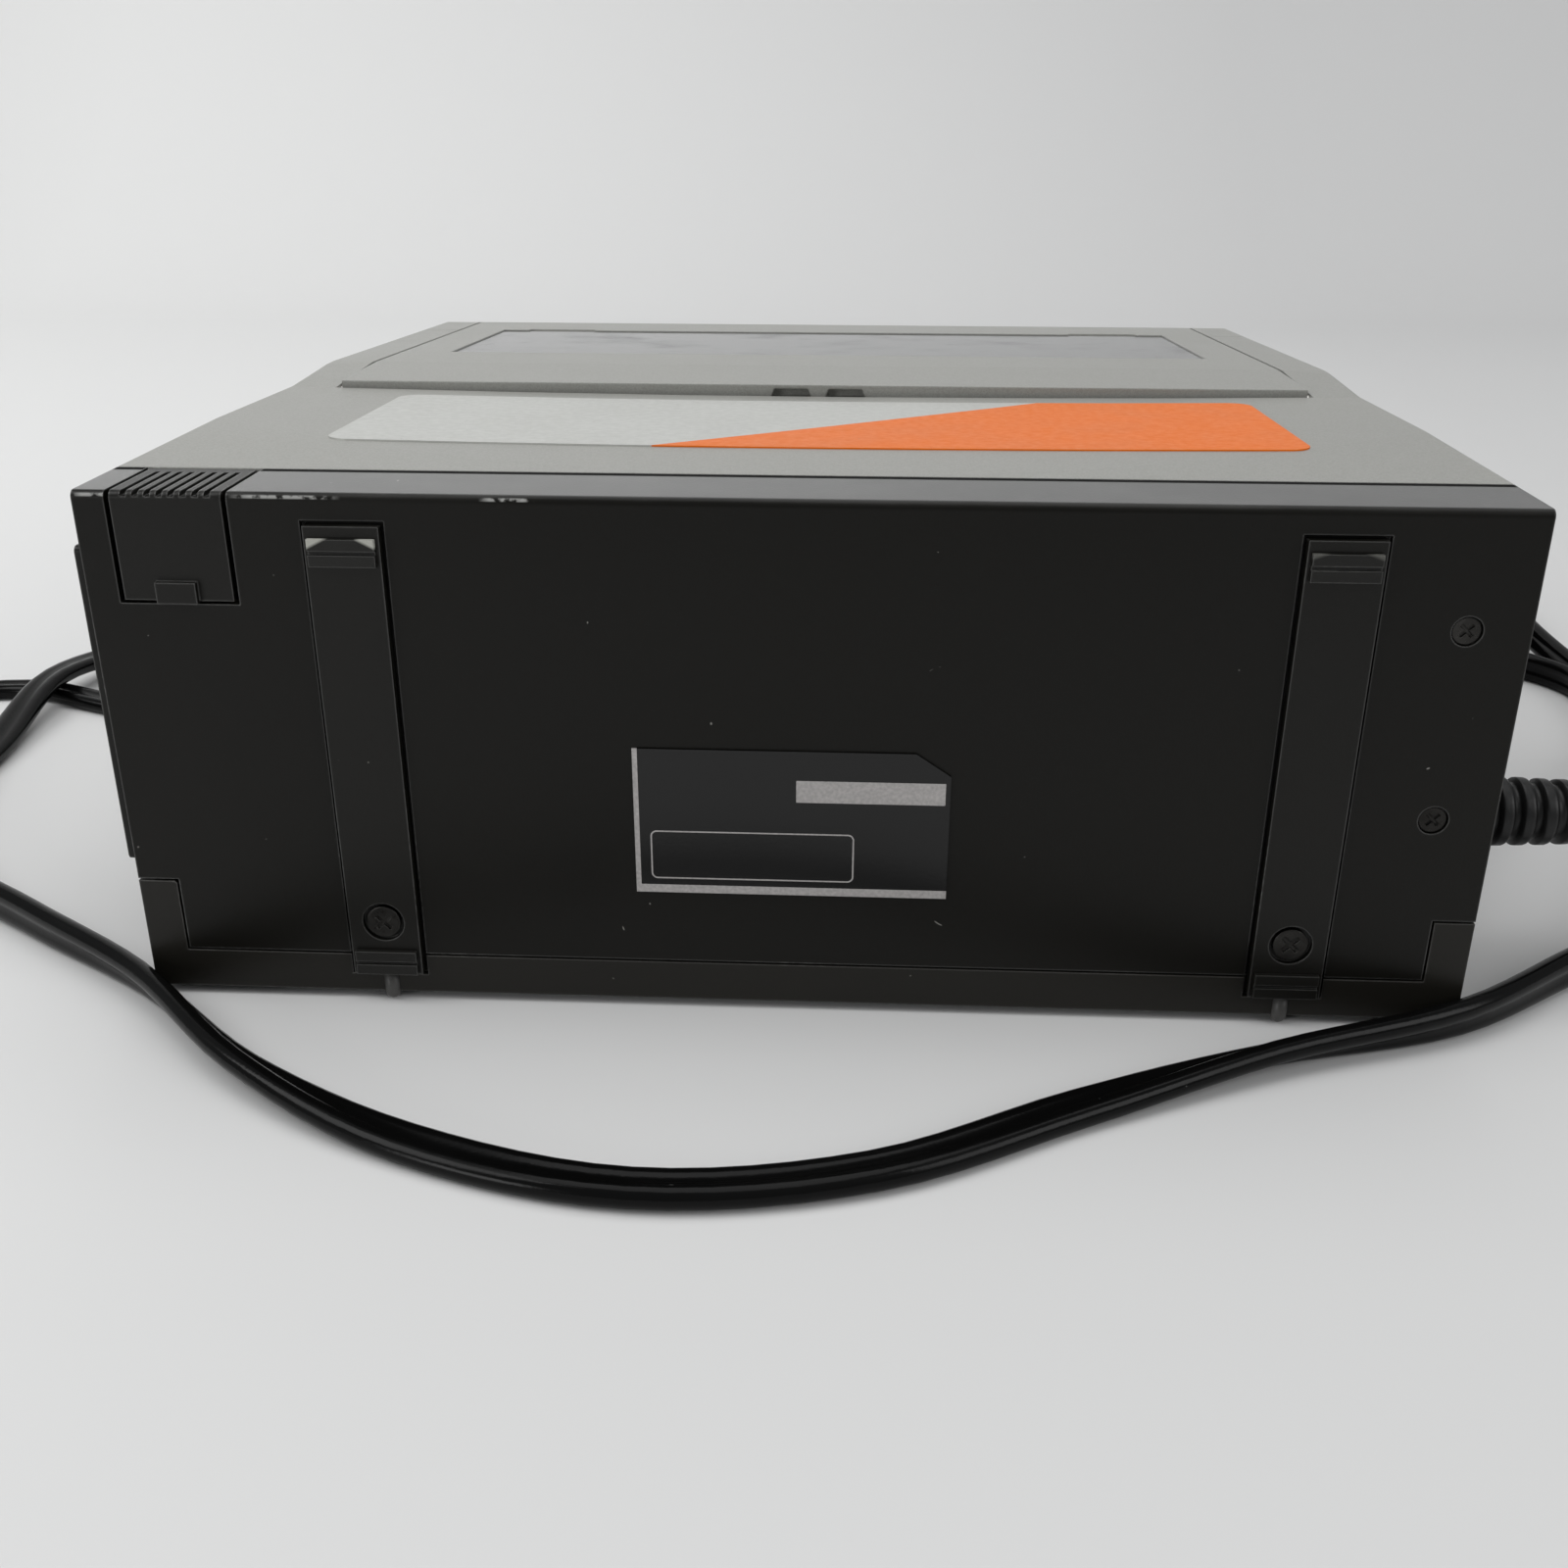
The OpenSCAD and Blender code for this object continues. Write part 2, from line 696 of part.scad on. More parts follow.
// Thin sheet that lies in the dished top
sticker_w = body_w - 49;
sticker_d = [strip_d + 23, lid_rear - 10];
module top_sticker() color("silver") intersection() {
    place(-sticker_w / 2 - 0.75, sticker_d[1], body_h - 6)
        linear_extrude(8)
            soft_square([sticker_w, sticker_d[1] - sticker_d[0]], 4);
    difference() {
        dish_tool(0, cover_end);
        dish_tool(-0.25, cover_end + 10);
    }
}

module aerial_door() color(case_black) difference() {
    union() {
        across([door_low_x, door_high_x]) {
            translate([-2, body_h - door_h])
                square([2, door_h - edge_r]);
            translate([-door_hinge_d, body_h - 2.2])
                square([door_hinge_d - edge_r, 2.2]);
            translate([-edge_r, body_h - edge_r])
                circle(edge_r);
            translate([-door_hinge_d, door_hinge_h])
                circle(1.1);
        }
        rod_x(door_hinge_r, [door_sides[0] - 1.2, door_sides[1] + 1.2], door_hinge_d, door_hinge_h);
        // finger tab
        block([door_x - 3.1, door_x + 3.1], [-1, eps], [body_h - door_h - 0.3, body_h - door_h + 3]);
    }
    // grooves between the grip ribs
    rib_pitch = door_w / (door_ribs + 0.3);
    for (i = [0:door_ribs - 2])
        translate([(i + 0.5 - (door_ribs - 1) / 2) * rib_pitch, 0, 0])
            block([door_x - 0.45, door_x + 0.45], [-over, door_hinge_d - 1.5], [body_h - 0.8, body_h + over]);
}

switch_x = door_low_x + 6;
switch_h = body_h - 9.4;
switch_w = 3.2;
switch_r = 1.3;                    // half the knob's height
switch_travel = 3;
module rf_converter() color(zinc) difference() {
    block([door_low_x + 1, door_high_x - 1], rf_d, [rf_low, body_h - 4.2]);
    block([switch_x - slip, switch_x + switch_w + switch_travel + slip], [rf_d[0] - over, rf_d[0] + 1.2],
        [switch_h - switch_r - slip, switch_h + switch_r + slip]);
}

module channel_switch() color("white")
    block([switch_x, switch_x + switch_w], [rf_d[0] - 1.5, rf_d[0] + 0.9],
        [switch_h - switch_r, switch_h + switch_r]);

// Steel eye that stands out of the case at root_x
module strap_eye(root_x) difference() {
    outer = eye_r + eye_rim;
    eye_x = root_x + outer + 0.1;
    union() {
        block([root_x, root_x + 1.5], [eye_d - 8, eye_d + 8], [eye_h - 7, eye_h + 7]);
        rod_y(outer, eye_x, [eye_d - eye_t / 2, eye_d + eye_t / 2], eye_h);
        block([root_x, eye_x], [eye_d - eye_t / 2, eye_d + eye_t / 2], [eye_h - outer, eye_h + outer]);
    }
    rod_y(eye_r, eye_x, [eye_d - eye_t, eye_d + eye_t], eye_h);
}

module strap_eyes() color(steel) {
    strap_eye(side_x + raised);
    mirror([1, 0, 0])
        strap_eye(side_x);
}

// ---------------------------------------------------------------- lid

module cassette_lid() color(cover_grey) difference() {
    union() {
        difference() {
            under_top([-lid_w / 2, lid_w / 2], [lid_rear, lid_front], lid_low);
            under_top([-lid_w / 2 + lid_wall, lid_w / 2 - lid_wall], [lid_rear + 1.6, lid_front - 1.6],
                lid_low - over, lid_t);
        }
        // hinge ears
        both_sides()
            block([lid_w / 2 - 4.5, lid_w / 2 - eps], [lid_rear + eps, lid_rear + 6],
                [hinge_h - 2.6, body_h - lid_t + eps]);
        // posts and pads that carry the holder
        both_sides() {
            rod_z(2.5, 60, holder_rear + 7, [holder_top, body_h - lid_t + eps]);
            rod_z(3, 70, holder_front - 5, [holder_top, top_h(holder_front - 5) - lid_t + 0.2]);
        }
    }
    // seat of the window, and the hole inside it
    top_slab([1 - window_w / 2, window_w / 2 - 1], [window_rear + 1, window_front - 1],
        [-over, lid_t + over]);
    top_slab([-window_w / 2, window_w / 2], [window_rear, window_front], [-over, window_seat]);
    // finger notches at the window's front edge
    both_sides()
        top_slab([window_w / 2 - 24.2, window_w / 2 - 6.7], [window_front - 1, window_front + 2],
            [-over, 0.8]);
    // two slots in the rear rim
    both_sides()
        place(0, lid_rear - 1, body_h)
            rotate([90, 0, 0])
                linear_extrude(3.2)
                    polygon([[1.2, -3], [9.8, -3], [8.9, -0.8], [2.1, -0.8]]);
    both_sides()
        rod_x(pin_r + run, [lid_w / 2 - 6, lid_w / 2 + over], hinge_d, hinge_h);
}

module lid_window() color([0.12, 0.13, 0.13, 0.8])
    top_slab([0.1 - window_w / 2, window_w / 2 - 0.1], [window_rear + 0.1, window_front - 0.1],
        [0.3, window_seat]);

// Sheet-metal cage, open at the front and below, that takes the cassette by its two sides
holder_x = holder_in / 2;
holder_d = [holder_rear, holder_front];
hole_pitch = 22;
module cassette_holder() color(steel) difference() {
    union() {
        both_sides() {
            block([holder_x, holder_out / 2], holder_d, [holder_low, holder_top]);
            block([holder_x - 8, holder_x + eps], holder_d, [holder_low, tape_low]);
            block([holder_x - 12, holder_x + eps], holder_d, [tape_top, holder_top]);
            // stops behind the cassette
            block([holder_x - 30, holder_x - 10], [holder_rear - holder_t, holder_rear + eps],
                [tape_top - 12, holder_top]);
        }
        middle_block(holder_in, [holder_rear, holder_rear + 14], [tape_top, holder_top]);
        middle_block(holder_in, [holder_front - 10, holder_front], [tape_top, holder_top]);
    }
    // lightening holes in the sides and the rear strip
    for (i = [0:3])
        rod_x(5, [-holder_out, holder_out], holder_rear + (0.175 + 0.211 * i) * cassette_d,
            (tape_low + tape_top) / 2);
    for (i = [-2:2])
        rod_z(3, hole_pitch * i, holder_rear + 7, [tape_top - over, holder_top + over]);
}

module lid_hinge_pins() color(steel)
    both_sides()
        rod_x(pin_r, [lid_w / 2 - 5.5, opening_x + 5], hinge_d, hinge_h);

// ---------------------------------------------------------------- deck

// Heights of the next modules are given above the deck plate
module rod_on_deck(r, at, h)
    rod_z(r, at[0], at[1], [deck_top + h[0], deck_top + h[1]]);

module deck_plate() color(zinc) difference() {
    union() {
        middle_block(2 * deck_x, deck_d, [deck_low, deck_top]);
        both_sides()
            block([deck_x - 1, deck_x], deck_d, [deck_low - deck_flange, deck_low + eps]);
        for (x = [-reel_x, reel_x])
            rod_on_deck(4, [x, reel_d], [-deck_t - 3, -deck_t + eps]);
        rod_on_deck(3.5, idler_at, [-deck_t - 2, -deck_t + eps]);
        rod_on_deck(pivot_r, pinch_at, [-eps, 22]);
    }
    rod_on_deck(drum_r - 6, [0, drum_d], [-deck_t - over, over]);
    for (x = [-reel_x, reel_x])
        rod_on_deck(reel_shaft_r + run, [x, reel_d], [-deck_t - 4, over]);
    rod_on_deck(pivot_r + run, idler_at, [-deck_t - 3, over]);
    rod_on_deck(bearing_r + run, capstan_at, [-deck_t - over, over]);
    for (at = post_at)
        both_sides()
            rod_on_deck(1.6, at, [-deck_t - over, over]);
    // threading slots either side of the drum, and cut-outs below the cassette
    both_sides()
        for (i = [0:4])
            rod_on_deck(3.5, [16 + 1.6 * i, drum_d + 40 - 2 * i], [-deck_t - over, over]);
    for (x = [-24, 0, 24])
        block([x - 8, x + 8], [holder_front - 24, holder_front - 8], [deck_low - over, deck_top + over]);
}

// Puts its children on the drum's tilted axis
module on_drum()
    place(0, drum_d, deck_top + drum_seat)
        rotate([0, drum_tilt, 0])
            children();

module drum_base() color(zinc) difference() {
    union() {
        rod_on_deck(drum_r + 3, [0, drum_d], [0, 2]);
        rod_on_deck(drum_r - 6 - slip, [0, drum_d], [-deck_t - 1.5, drum_seat + 3]);
    }
    on_drum() {
        cylinder(r = drum_r + 5, h = 2 * drum_h);
        translate([0, 0, -2 * drum_h])
            cylinder(r = drum_shaft_r + run, h = 3 * drum_h);
    }
}

module lower_drum() color(steel)
    on_drum()
        difference() {
            cylinder(r = drum_r, h = drum_h);
            translate([0, 0, -over])
                cylinder(r = drum_shaft_r + run, h = drum_h + 2 * over);
            // step that the tape's lower edge runs on
            translate([0, 0, drum_h - 3])
                difference() {
                    cylinder(r = drum_r + over, h = 1);
                    translate([0, 0, -over])
                        cylinder(r = drum_r - 0.4, h = 1 + 2 * over);
                }
        }

module upper_drum() color(steel)
    on_drum()
        translate([0, 0, drum_h + 0.4]) {
            difference() {
                cylinder(r = drum_r, h = drum_h);
                translate([0, 0, drum_h - 2])
                    cylinder(r = drum_r - 7, h = 2 + over);
                for (turn = [0, 180])
                    rotate([0, 0, turn])
                        translate([drum_r - 2, -2, -over])
                            cube([4, 4, 1.2 + over]);
                // screw holes in the dished top
                for (turn = [0:60:300])
                    rotate([0, 0, turn])
                        translate([drum_r - 12, 0, drum_h - 4])
                            cylinder(r = 1.5, h = 4 + over);
            }
            // head tips in their notches
            for (turn = [0, 180])
                rotate([0, 0, turn])
                    translate([drum_r - 2 - eps, -0.4, 0.2])
                        cube([1.9, 0.8, 1.1]);
            // shaft and the motor's rotor
            translate([0, 0, -drum_h - drum_seat - 12])
                cylinder(r = drum_shaft_r, h = drum_h + drum_seat + 13);
            translate([0, 0, -drum_h - drum_seat - 11])
                cylinder(r = drum_r - 12, h = 5);
        }

// Turntable with a hub, a spindle of three fins and its shaft
module reel_table(x) {
    rod_on_deck(reel_r, [x, reel_d], [0.5, 2.1]);
    rod_on_deck(reel_r / 2, [x, reel_d], [2, 4]);
    rod_on_deck(4.4, [x, reel_d], [3.9, 14]);
    rod_on_deck(2.6, [x, reel_d], [13.9, 15]);
    for (turn = [0:120:240])
        place(x, reel_d, deck_top + 3.9)
            rotate([0, 0, turn])
                translate([0, -0.8, 0])
                    cube([6.6, 1.6, 8]);
    rod_on_deck(reel_shaft_r, [x, reel_d], [-deck_t - 4, 1]);
}

module supply_reel() color(case_black)
    reel_table(-reel_x);

module take_up_reel() color(case_black)
    reel_table(reel_x);

module idler_wheel() color(case_black) {
    rod_on_deck(idler_r, idler_at, [0.5, 2.1]);
    rod_on_deck(pivot_r, idler_at, [-deck_t - 3, 1]);
}

// Groove for the belt, round a wheel of radius r
module belt_groove(r, at)
    difference() {
        rod_on_deck(r + over, at, [-deck_t - 7.5, -deck_t - 4.5]);
        rod_on_deck(r - belt_seat, at, [-deck_t - 8, -deck_t - 4]);
    }

module capstan() color(steel) {
    rod_on_deck(capstan_r, capstan_at, [-deck_t - 12, 24]);
    difference() {
        rod_on_deck(flywheel_r, capstan_at, [-deck_t - 10, -deck_t - 4]);
        belt_groove(flywheel_r, capstan_at);
    }
}

module capstan_bearing() color(brass) difference() {
    union() {
        rod_on_deck(bearing_r, capstan_at, [-deck_t - 3.4, 0.1]);
        rod_on_deck(bearing_r + 2, capstan_at, [0, 1.2]);
        rod_on_deck(bearing_r - 2, capstan_at, [1, 3]);
    }
    rod_on_deck(capstan_r + run, capstan_at, [-deck_t - 4, 4]);
}

module capstan_motor() color(steel) difference() {
    union() {
        rod_on_deck(14, motor_at, [-deck_t - 17, -deck_t - 9]);
        for (x = [-11, 11])
            rod_on_deck(2, motor_at + [x, 0], [-deck_t - 9.1, -deck_t]);
    }
    rod_on_deck(motor_shaft_r + run, motor_at, [-deck_t - 13, -deck_t - 8]);
}

module motor_pulley() color(brass) {
    rod_on_deck(motor_shaft_r, motor_at, [-deck_t - 12, -deck_t - 3]);
    difference() {
        rod_on_deck(pulley_r, motor_at, [-deck_t - 8, -deck_t - 4]);
        belt_groove(pulley_r, motor_at);
    }
}

// Outline of the belt's inner (0) or outer (1) side
module belt_outline(t)
    hull() {
        translate([capstan_at[0], -capstan_at[1]])
            circle(flywheel_r - belt_seat + slip + t);
        translate([motor_at[0], -motor_at[1]])
            circle(pulley_r - belt_seat + slip + t);
    }

module drive_belt() color(rubber_black)
    place(0, 0, belt_h - 1)
        linear_extrude(2)
            difference() {
                belt_outline(1);
                belt_outline(0);
            }

module pinch_arm() color(steel) difference() {
    union() {
        rod_on_deck(3.2, pinch_at, [1, 21]);
        rod_on_deck(3.2, roller_at, [19, 21]);
        rod_on_deck(roller_shaft_r, roller_at, [3, 20]);
        place(pinch_at[0], pinch_at[1], deck_top + 19)
            rotate([0, 0, atan2(pinch_at[1] - roller_at[1], roller_at[0] - pinch_at[0])])
                translate([0, -2.4, 0])
                    cube([pinch_l, 4.8, 2]);
    }
    rod_on_deck(pivot_r + run, pinch_at, [0, 22]);
}

module pinch_roller() color(rubber_black) difference() {
    rod_on_deck(roller_r, roller_at, [4, 18]);
    rod_on_deck(roller_shaft_r + run, roller_at, [3, 19]);
}

guide_at = [[-70, holder_rear - 7], [-50, holder_rear - 15], [-38, holder_rear - 25],
    [38, holder_rear - 23], [50, holder_rear - 13]];
module tape_guides() color(steel)
    for (at = guide_at) {
        rod_on_deck(3, at, [0, 2]);
        rod_on_deck(1.6, at, [1, 21]);
        rod_on_deck(2.6, at, [2, 3.5]);
        rod_on_deck(2.6, at, [20, 22]);
    }

head_at = [[-60, holder_rear - 26], [56, holder_rear - 25]];
module tape_heads() color(steel)
    for (at = head_at)
        place(at[0], at[1], deck_top) {
            translate([-6, -5, 0])
                cube([12, 10, 1.5]);
            translate([-4, -3.5, 1])
                cube([8, 7, 17]);
        }

// Chips are [share of the board's width, share of its depth, length, width]
chips = [[0.1, 0.28, 24, 12], [0.3, 0.21, 30, 14], [0.52, 0.19, 22, 10], [0.09, 0.59, 20, 20],
    [0.26, 0.53, 36, 12], [0.53, 0.53, 28, 12], [0.19, 0.78, 40, 14], [0.5, 0.78, 30, 10],
    [0.75, 0.78, 22, 16]];
chip_h = 3;
capacitor_r = 3.5;
capacitor_h = 8.4;
module main_board() color(board_green) {
    face = board_h + board_t - eps;
    difference() {
        middle_block(2 * board_x, board_d, [board_h, board_h + board_t]);
        for (at = post_at)
            both_sides()
                rod_z(post_r + 1, at[0], at[1], [board_h - over, board_h + board_t + over]);
    }
    for (chip = chips) {
        x = (2 * chip[0] - 1) * board_x;
        d = board_d[0] + chip[1] * (board_d[1] - board_d[0]);
        block([x, x + chip[2]], [d, d + chip[3]], [face, face + chip_h]);
    }
    for (i = [0:5])
        rod_z(capacitor_r, 24 * i - 66, board_d[0] + 18, [face, face + capacitor_h]);
}

// ---------------------------------------------------------------- battery

module battery_pack() color([0.25, 0.25, 0.27]) {
    difference() {
        block([battery_x - battery_l, battery_x], [battery_rear, battery_front],
            [battery_low, battery_low + battery_h]);
        block([battery_x - 3, battery_x + over], [battery_rear + 20, battery_front - 20],
            [battery_low + battery_h - 1.5, battery_low + battery_h + over]);
    }
    for (d = [battery_rear + 12, battery_front - 12])
        block([battery_x - battery_l - 1, battery_x - battery_l + eps], [d - 4, d + 4],
            [battery_low + 6, battery_low + 16]);
}

module battery_door() color(case_black) difference() {
    union() {
        block([inner_x, side_x], [doorway[0] + slip, door_pin_d], [doorway_h[0] + slip, doorway_h[1] - slip]);
        rod_z(wall / 2, side_x - wall / 2, door_pin_d, [doorway_h[0] + slip, doorway_h[1] - slip]);
        rod_z(door_pin_r, side_x - wall / 2, door_pin_d, [door_pin_low, doorway_h[1] + 2]);
    }
    // finger hollow
    place(side_x + 3.6, doorway[0] + 8, (doorway_h[0] + doorway_h[1]) / 2)
        rotate([90, 0, 0])
            cylinder(r = 4.6, h = 12, center = true);
}

// ---------------------------------------------------------------- controls

key_flange = (key_pitch - key_w) / 2 - 0.25;
module key(i)
    on_slope((i - 3) * key_pitch, key_up) {
        difference() {
            translate([-key_w / 2, -key_l / 2, -wall - key_in])
                cube([key_w, key_l, wall + key_in + 2]);
            // finger groove
            translate([0, 0, 12.4])
                rotate([0, 90, 0])
                    cylinder(r = 11, h = key_w - 3, center = true);
        }
        translate([-key_w / 2 - key_flange, -key_l / 2 - key_flange, -wall - slip - 1.2])
            cube([key_w + 2 * key_flange, key_l + 2 * key_flange, 1.2]);
    }

module eject_key() color(case_black) key(0);
module rewind_key() color(case_black) key(1);
module stop_key() color(case_black) key(2);
module play_key() color(case_black) key(3);
module forward_key() color(case_black) key(4);
module pause_key() color(case_black) key(5);
module record_key() color([0.6, 0.12, 0.1]) key(6);

board_gap = wall + key_in + key_travel + 0.8;   // from the slope to the keys' board
module key_board() color(board_green)
    on_slope(0, key_up) {
        translate([-3.5 * key_pitch - 6, -key_l / 2 - 1, -board_gap - 1.6])
            cube([7 * key_pitch + 12, key_l + 2, 1.6]);
        for (side = [-1, 1])
            translate([side * (3.5 * key_pitch + 3), 0, -board_gap - eps])
                cylinder(r = 2, h = board_gap - wall + eps);
    }

module display_window() color([0.1, 0.1, 0.11])
    middle_block(2 * (window_x - slip), [body_d - 1.5, body_d - 0.3],
        [control_h - 8 + slip, control_h + 8 - slip]);

module power_switch() color(case_black) {
    block(power_x, [body_d - wall - slip - eps, body_d + 1.2], [control_h - power_r, control_h + power_r]);
    block([power_x[0] - 4, power_x[1] + 4], [body_d - wall - slip - 1.2, body_d - wall - slip],
        [control_h - 2 * power_r, control_h + 2 * power_r]);
}

module tracking_knob() color(case_black) {
    difference() {
        rod_y(knob_r, knob_x, [body_d + slip, body_d + knob_out], control_h);
        for (turn = [0:24:336])
            place(knob_x, body_d + slip, control_h)
                rotate([0, turn, 0])
                    translate([knob_r, 0, 0])
                        rotate([90, 0, 0])
                            cylinder(r = 0.6, h = 20, center = true);
        // pointer
        block([knob_x - 0.4, knob_x + 0.4], [body_d + knob_out - 0.5, body_d + knob_out + over],
            [control_h + 2, control_h + knob_r + over]);
    }
    rod_y(knob_shaft_r, knob_x, [body_d - wall - slip - 1.4, body_d + slip + eps], control_h);
    rod_y(knob_shaft_r + 2, knob_x, [body_d - wall - slip - 1.4, body_d - wall - slip], control_h);
}

module camera_socket() color(steel) {
    difference() {
        union() {
            rod_x(camera_r, [-side_x, -inner_x + 7], camera_d, camera_h);
            rod_x(camera_r + 1.8, [-inner_x, -inner_x + 1.5], camera_d, camera_h);
        }
        rod_x(camera_r - 2.2, [-side_x - over, -side_x + 3.5], camera_d, camera_h);
    }
    for (turn = [0:36:324])
        place(-side_x + 1, camera_d, camera_h)
            rotate([turn, 0, 0])
                translate([0, 5, 0])
                    rotate([0, 90, 0])
                        cylinder(r = 0.5, h = 3, $fn = 16);
}

module av_jacks() color(brass)
    for (d = jack_d)
        difference() {
            union() {
                rod_x(jack_r, [-side_x, -inner_x + 8], d, jack_h);
                rod_x(jack_r + 1.3, [-inner_x, -inner_x + 1.5], d, jack_h);
            }
            rod_x(1.7, [-side_x - over, -inner_x + 4], d, jack_h);
        }

// ---------------------------------------------------------------- lead

floor_gap = 0.1;                   // keeps the lead just off the floor
// Coil of the unused length, standing on edge: it winds in below and out again above
coil_at = [-151.2, 222.9];
coil_in = 31;                      // radius at the middle of the innermost turn
coil_pitch = cord_t + 0.6;         // from turn to turn
coil_rise = cord_w + 0.6;          // from layer to layer
coil_half = 675;                   // angle wound in each layer
coil_out = coil_in + coil_pitch * (1 + (coil_half - 270) / 360);
coil_north = coil_at[1] - coil_out;
coil_west = coil_at[0] - coil_out;

// Where the strain relief ends
boot_end = [
    -side_x - boot_straight - boot_bend * sin(boot_turn),
    boot_d + boot_bend * (1 - cos(boot_turn))
];
boot_lift = foot_h + boot_h - floor_gap - cord_w / 2;

// Points are [x, distance from the rear panel, lift off the floor, roll of the flat section]
start_route = [
    [boot_end[0], boot_end[1], boot_lift, 90],
    [-157.5, 56, 21.7, 90], [-167.5, 76.5, 14.5, 90], [-176, 97.5, 6.9, 90], [-184, 119, 1.3, 90],
    [-189, 141, 0, 90], [-188.5, 163.5, 0, 90],
    [-173.5, coil_north - 3, 0, 90], [coil_at[0], coil_north, 0, 90]
];
run_route = [
    [coil_west, coil_at[1], coil_rise, 90], [coil_west, coil_at[1] - 10, coil_rise, 90],
    [-189.6, 198, 4, 90], [-193, 164, 0.6, 90], [-199, 130, 0, 90], [-195, 96, 0, 90], [-184, 63, 0, 90],
    [-164.5, 35, 0, 90], [-135, 17.5, 0, 90],
    // along the rear panel, lying flat in the middle
    [-107, -2.5, 0, 75], [-74.5, -14, 0, 40], [-43.5, -28.5, 0.1, 0], [-13, -45, 0.1, 0],
    [20.5, -50.5, 0.1, 0], [54, -42, 0.1, 0], [83.5, -25, 0.1, 40], [109, -1.5, 0, 70],
    [137.5, 18, 0, 90],
    // round the right side, over itself and back under
    [165, 38.5, 0.1, 90], [181.5, 68.5, 0.2, 75], [187, 102.5, 0.6, 25], [190, 137, 4.4, 0],
    [181.5, 168, 0.6, 20], [154, 184.5, 0.2, 80], [124, 175, 0.1, 90], [117, 144, 0, 90],
    [138, 121.5, 0.1, 45], [169, 128, 0.1, 0], [199.5, 139, 0.1, 0], [228, 126.5, 0, 0], [234, 95, 0, 0]
];

function unit(v) = v / norm(v);

// Middle of the lead at a route point
function route_point(p) = [
    p[0], y_rear - p[1],
    p[2] + floor_gap + cord_t / 2 + (cord_w - cord_t) / 2 * abs(sin(p[3])), p[3]
];

// Smooth curve through route points, n pieces between two points
function smooth(p, n) = concat([
    for (i = [0:len(p) - 2], k = [0:n - 1])
        let(a = p[max(i - 1, 0)], b = p[i], c = p[i + 1], e = p[min(i + 2, len(p) - 1)], t = k / n)
            b + t * (c - a) / 2 + t * t * (2 * a - 5 * b + 4 * c - e) / 2
                + t * t * t * (3 * b - a - 3 * c + e) / 2
], [p[len(p) - 1]]);

// Middle of the lead in the coil, at an angle from the turning point between the layers
function coil_point(x) =
    let(
        r = coil_in + coil_pitch * (min(max((abs(x) - 90) / 180, 0), 1) + max(abs(x) - 270, 0) / 360),
        climb = min(max((x + 90) / 180, 0), 1),
        turn = x + coil_half
    )
    route_point([
        coil_at[0] + r * sin(turn), coil_at[1] - r * cos(turn),
        coil_rise * climb * climb * (3 - 2 * climb), 90
    ]);
coil_route = [for (x = [-coil_half:15:coil_half]) coil_point(x)];

// Flat section with rounded edges, n points round each edge
function cord_section(n) = [
    for (edge = [1, -1], k = [0:n - 1])
        let(a = 180 * k / (n - 1) - 90)
            edge * [(cord_w - cord_t) / 2 + cord_t / 2 * cos(a), cord_t / 2 * sin(a)]
];

// One ring of the lead's surface, square to the route
function cord_ring(p, along, section) =
    let(
        t = unit(along), side = unit(cross([0, 0, 1], t)), up = cross(t, side),
        wide = side * cos(p[3]) + up * sin(p[3]), thick = up * cos(p[3]) - side * sin(p[3])
    )
    [for (s = section) part_xyz(p) + s[0] * wide + s[1] * thick];

function part_xyz(v) = [v[0], v[1], v[2]];

// Solid along a route of [x, y, z, roll]
module flat_cord(route, n) {
    section = cord_section(n);
    m = len(section);
    last = len(route) - 1;
    points = [
        for (i = [0:last])
            each cord_ring(route[i], part_xyz(route[min(i + 1, last)] - route[max(i - 1, 0)]), section)
    ];
    skin = [
        for (i = [0:last - 1], j = [0:m - 1])
            let(a = i * m + j, b = i * m + (j + 1) % m)
                each [[a, a + m, b + m], [a, b + m, b]]
    ];
    polyhedron(points, concat(skin, [[for (j = [0:m - 1]) j], [for (j = [m - 1:-1:0]) last * m + j]]));
}

// Least distance between the middles of turns that lie beside each other, less the lead's thickness
coil_gaps = [
    for (i = [0:len(coil_route) - 1], k = [20:28])
        if (i + k < len(coil_route))
            let(v = coil_route[i + k] - coil_route[i])
                if (abs(v[2]) < cord_w) norm([v[0], v[1]]) - cord_t
];
layer_gaps = [
    for (i = [0:len(coil_route) - 1], k = [20:len(coil_route) - 1])
        if (i + k < len(coil_route))
            let(v = coil_route[i + k] - coil_route[i])
                if (norm([v[0], v[1]]) < cord_t + 0.4) abs(v[2]) - cord_w
];
echo(least_gap_in_coil = min(concat(coil_gaps, layer_gaps)));

// Strain relief: a flange inside the case, then a tapered ribbed sleeve that bends with the lead
boot_tip = 0.75;                   // share of the radius left at the tip
boot_core = 1;                     // depth of the grooves between the ribs
straight_ribs = 5;
bend_ribs = 7;

// Radius of the ribs, at a share of the way from case to tip
function boot_radius(share) = boot_r * (1 - (1 - boot_tip) * share);

module boot_arc(r, from, angle)
    place(-side_x - boot_straight, boot_d + boot_bend, boot_h)
        rotate([0, 0, 90 + from])
            rotate_extrude(angle = angle)
                translate([boot_bend, 0])
                    circle(r);

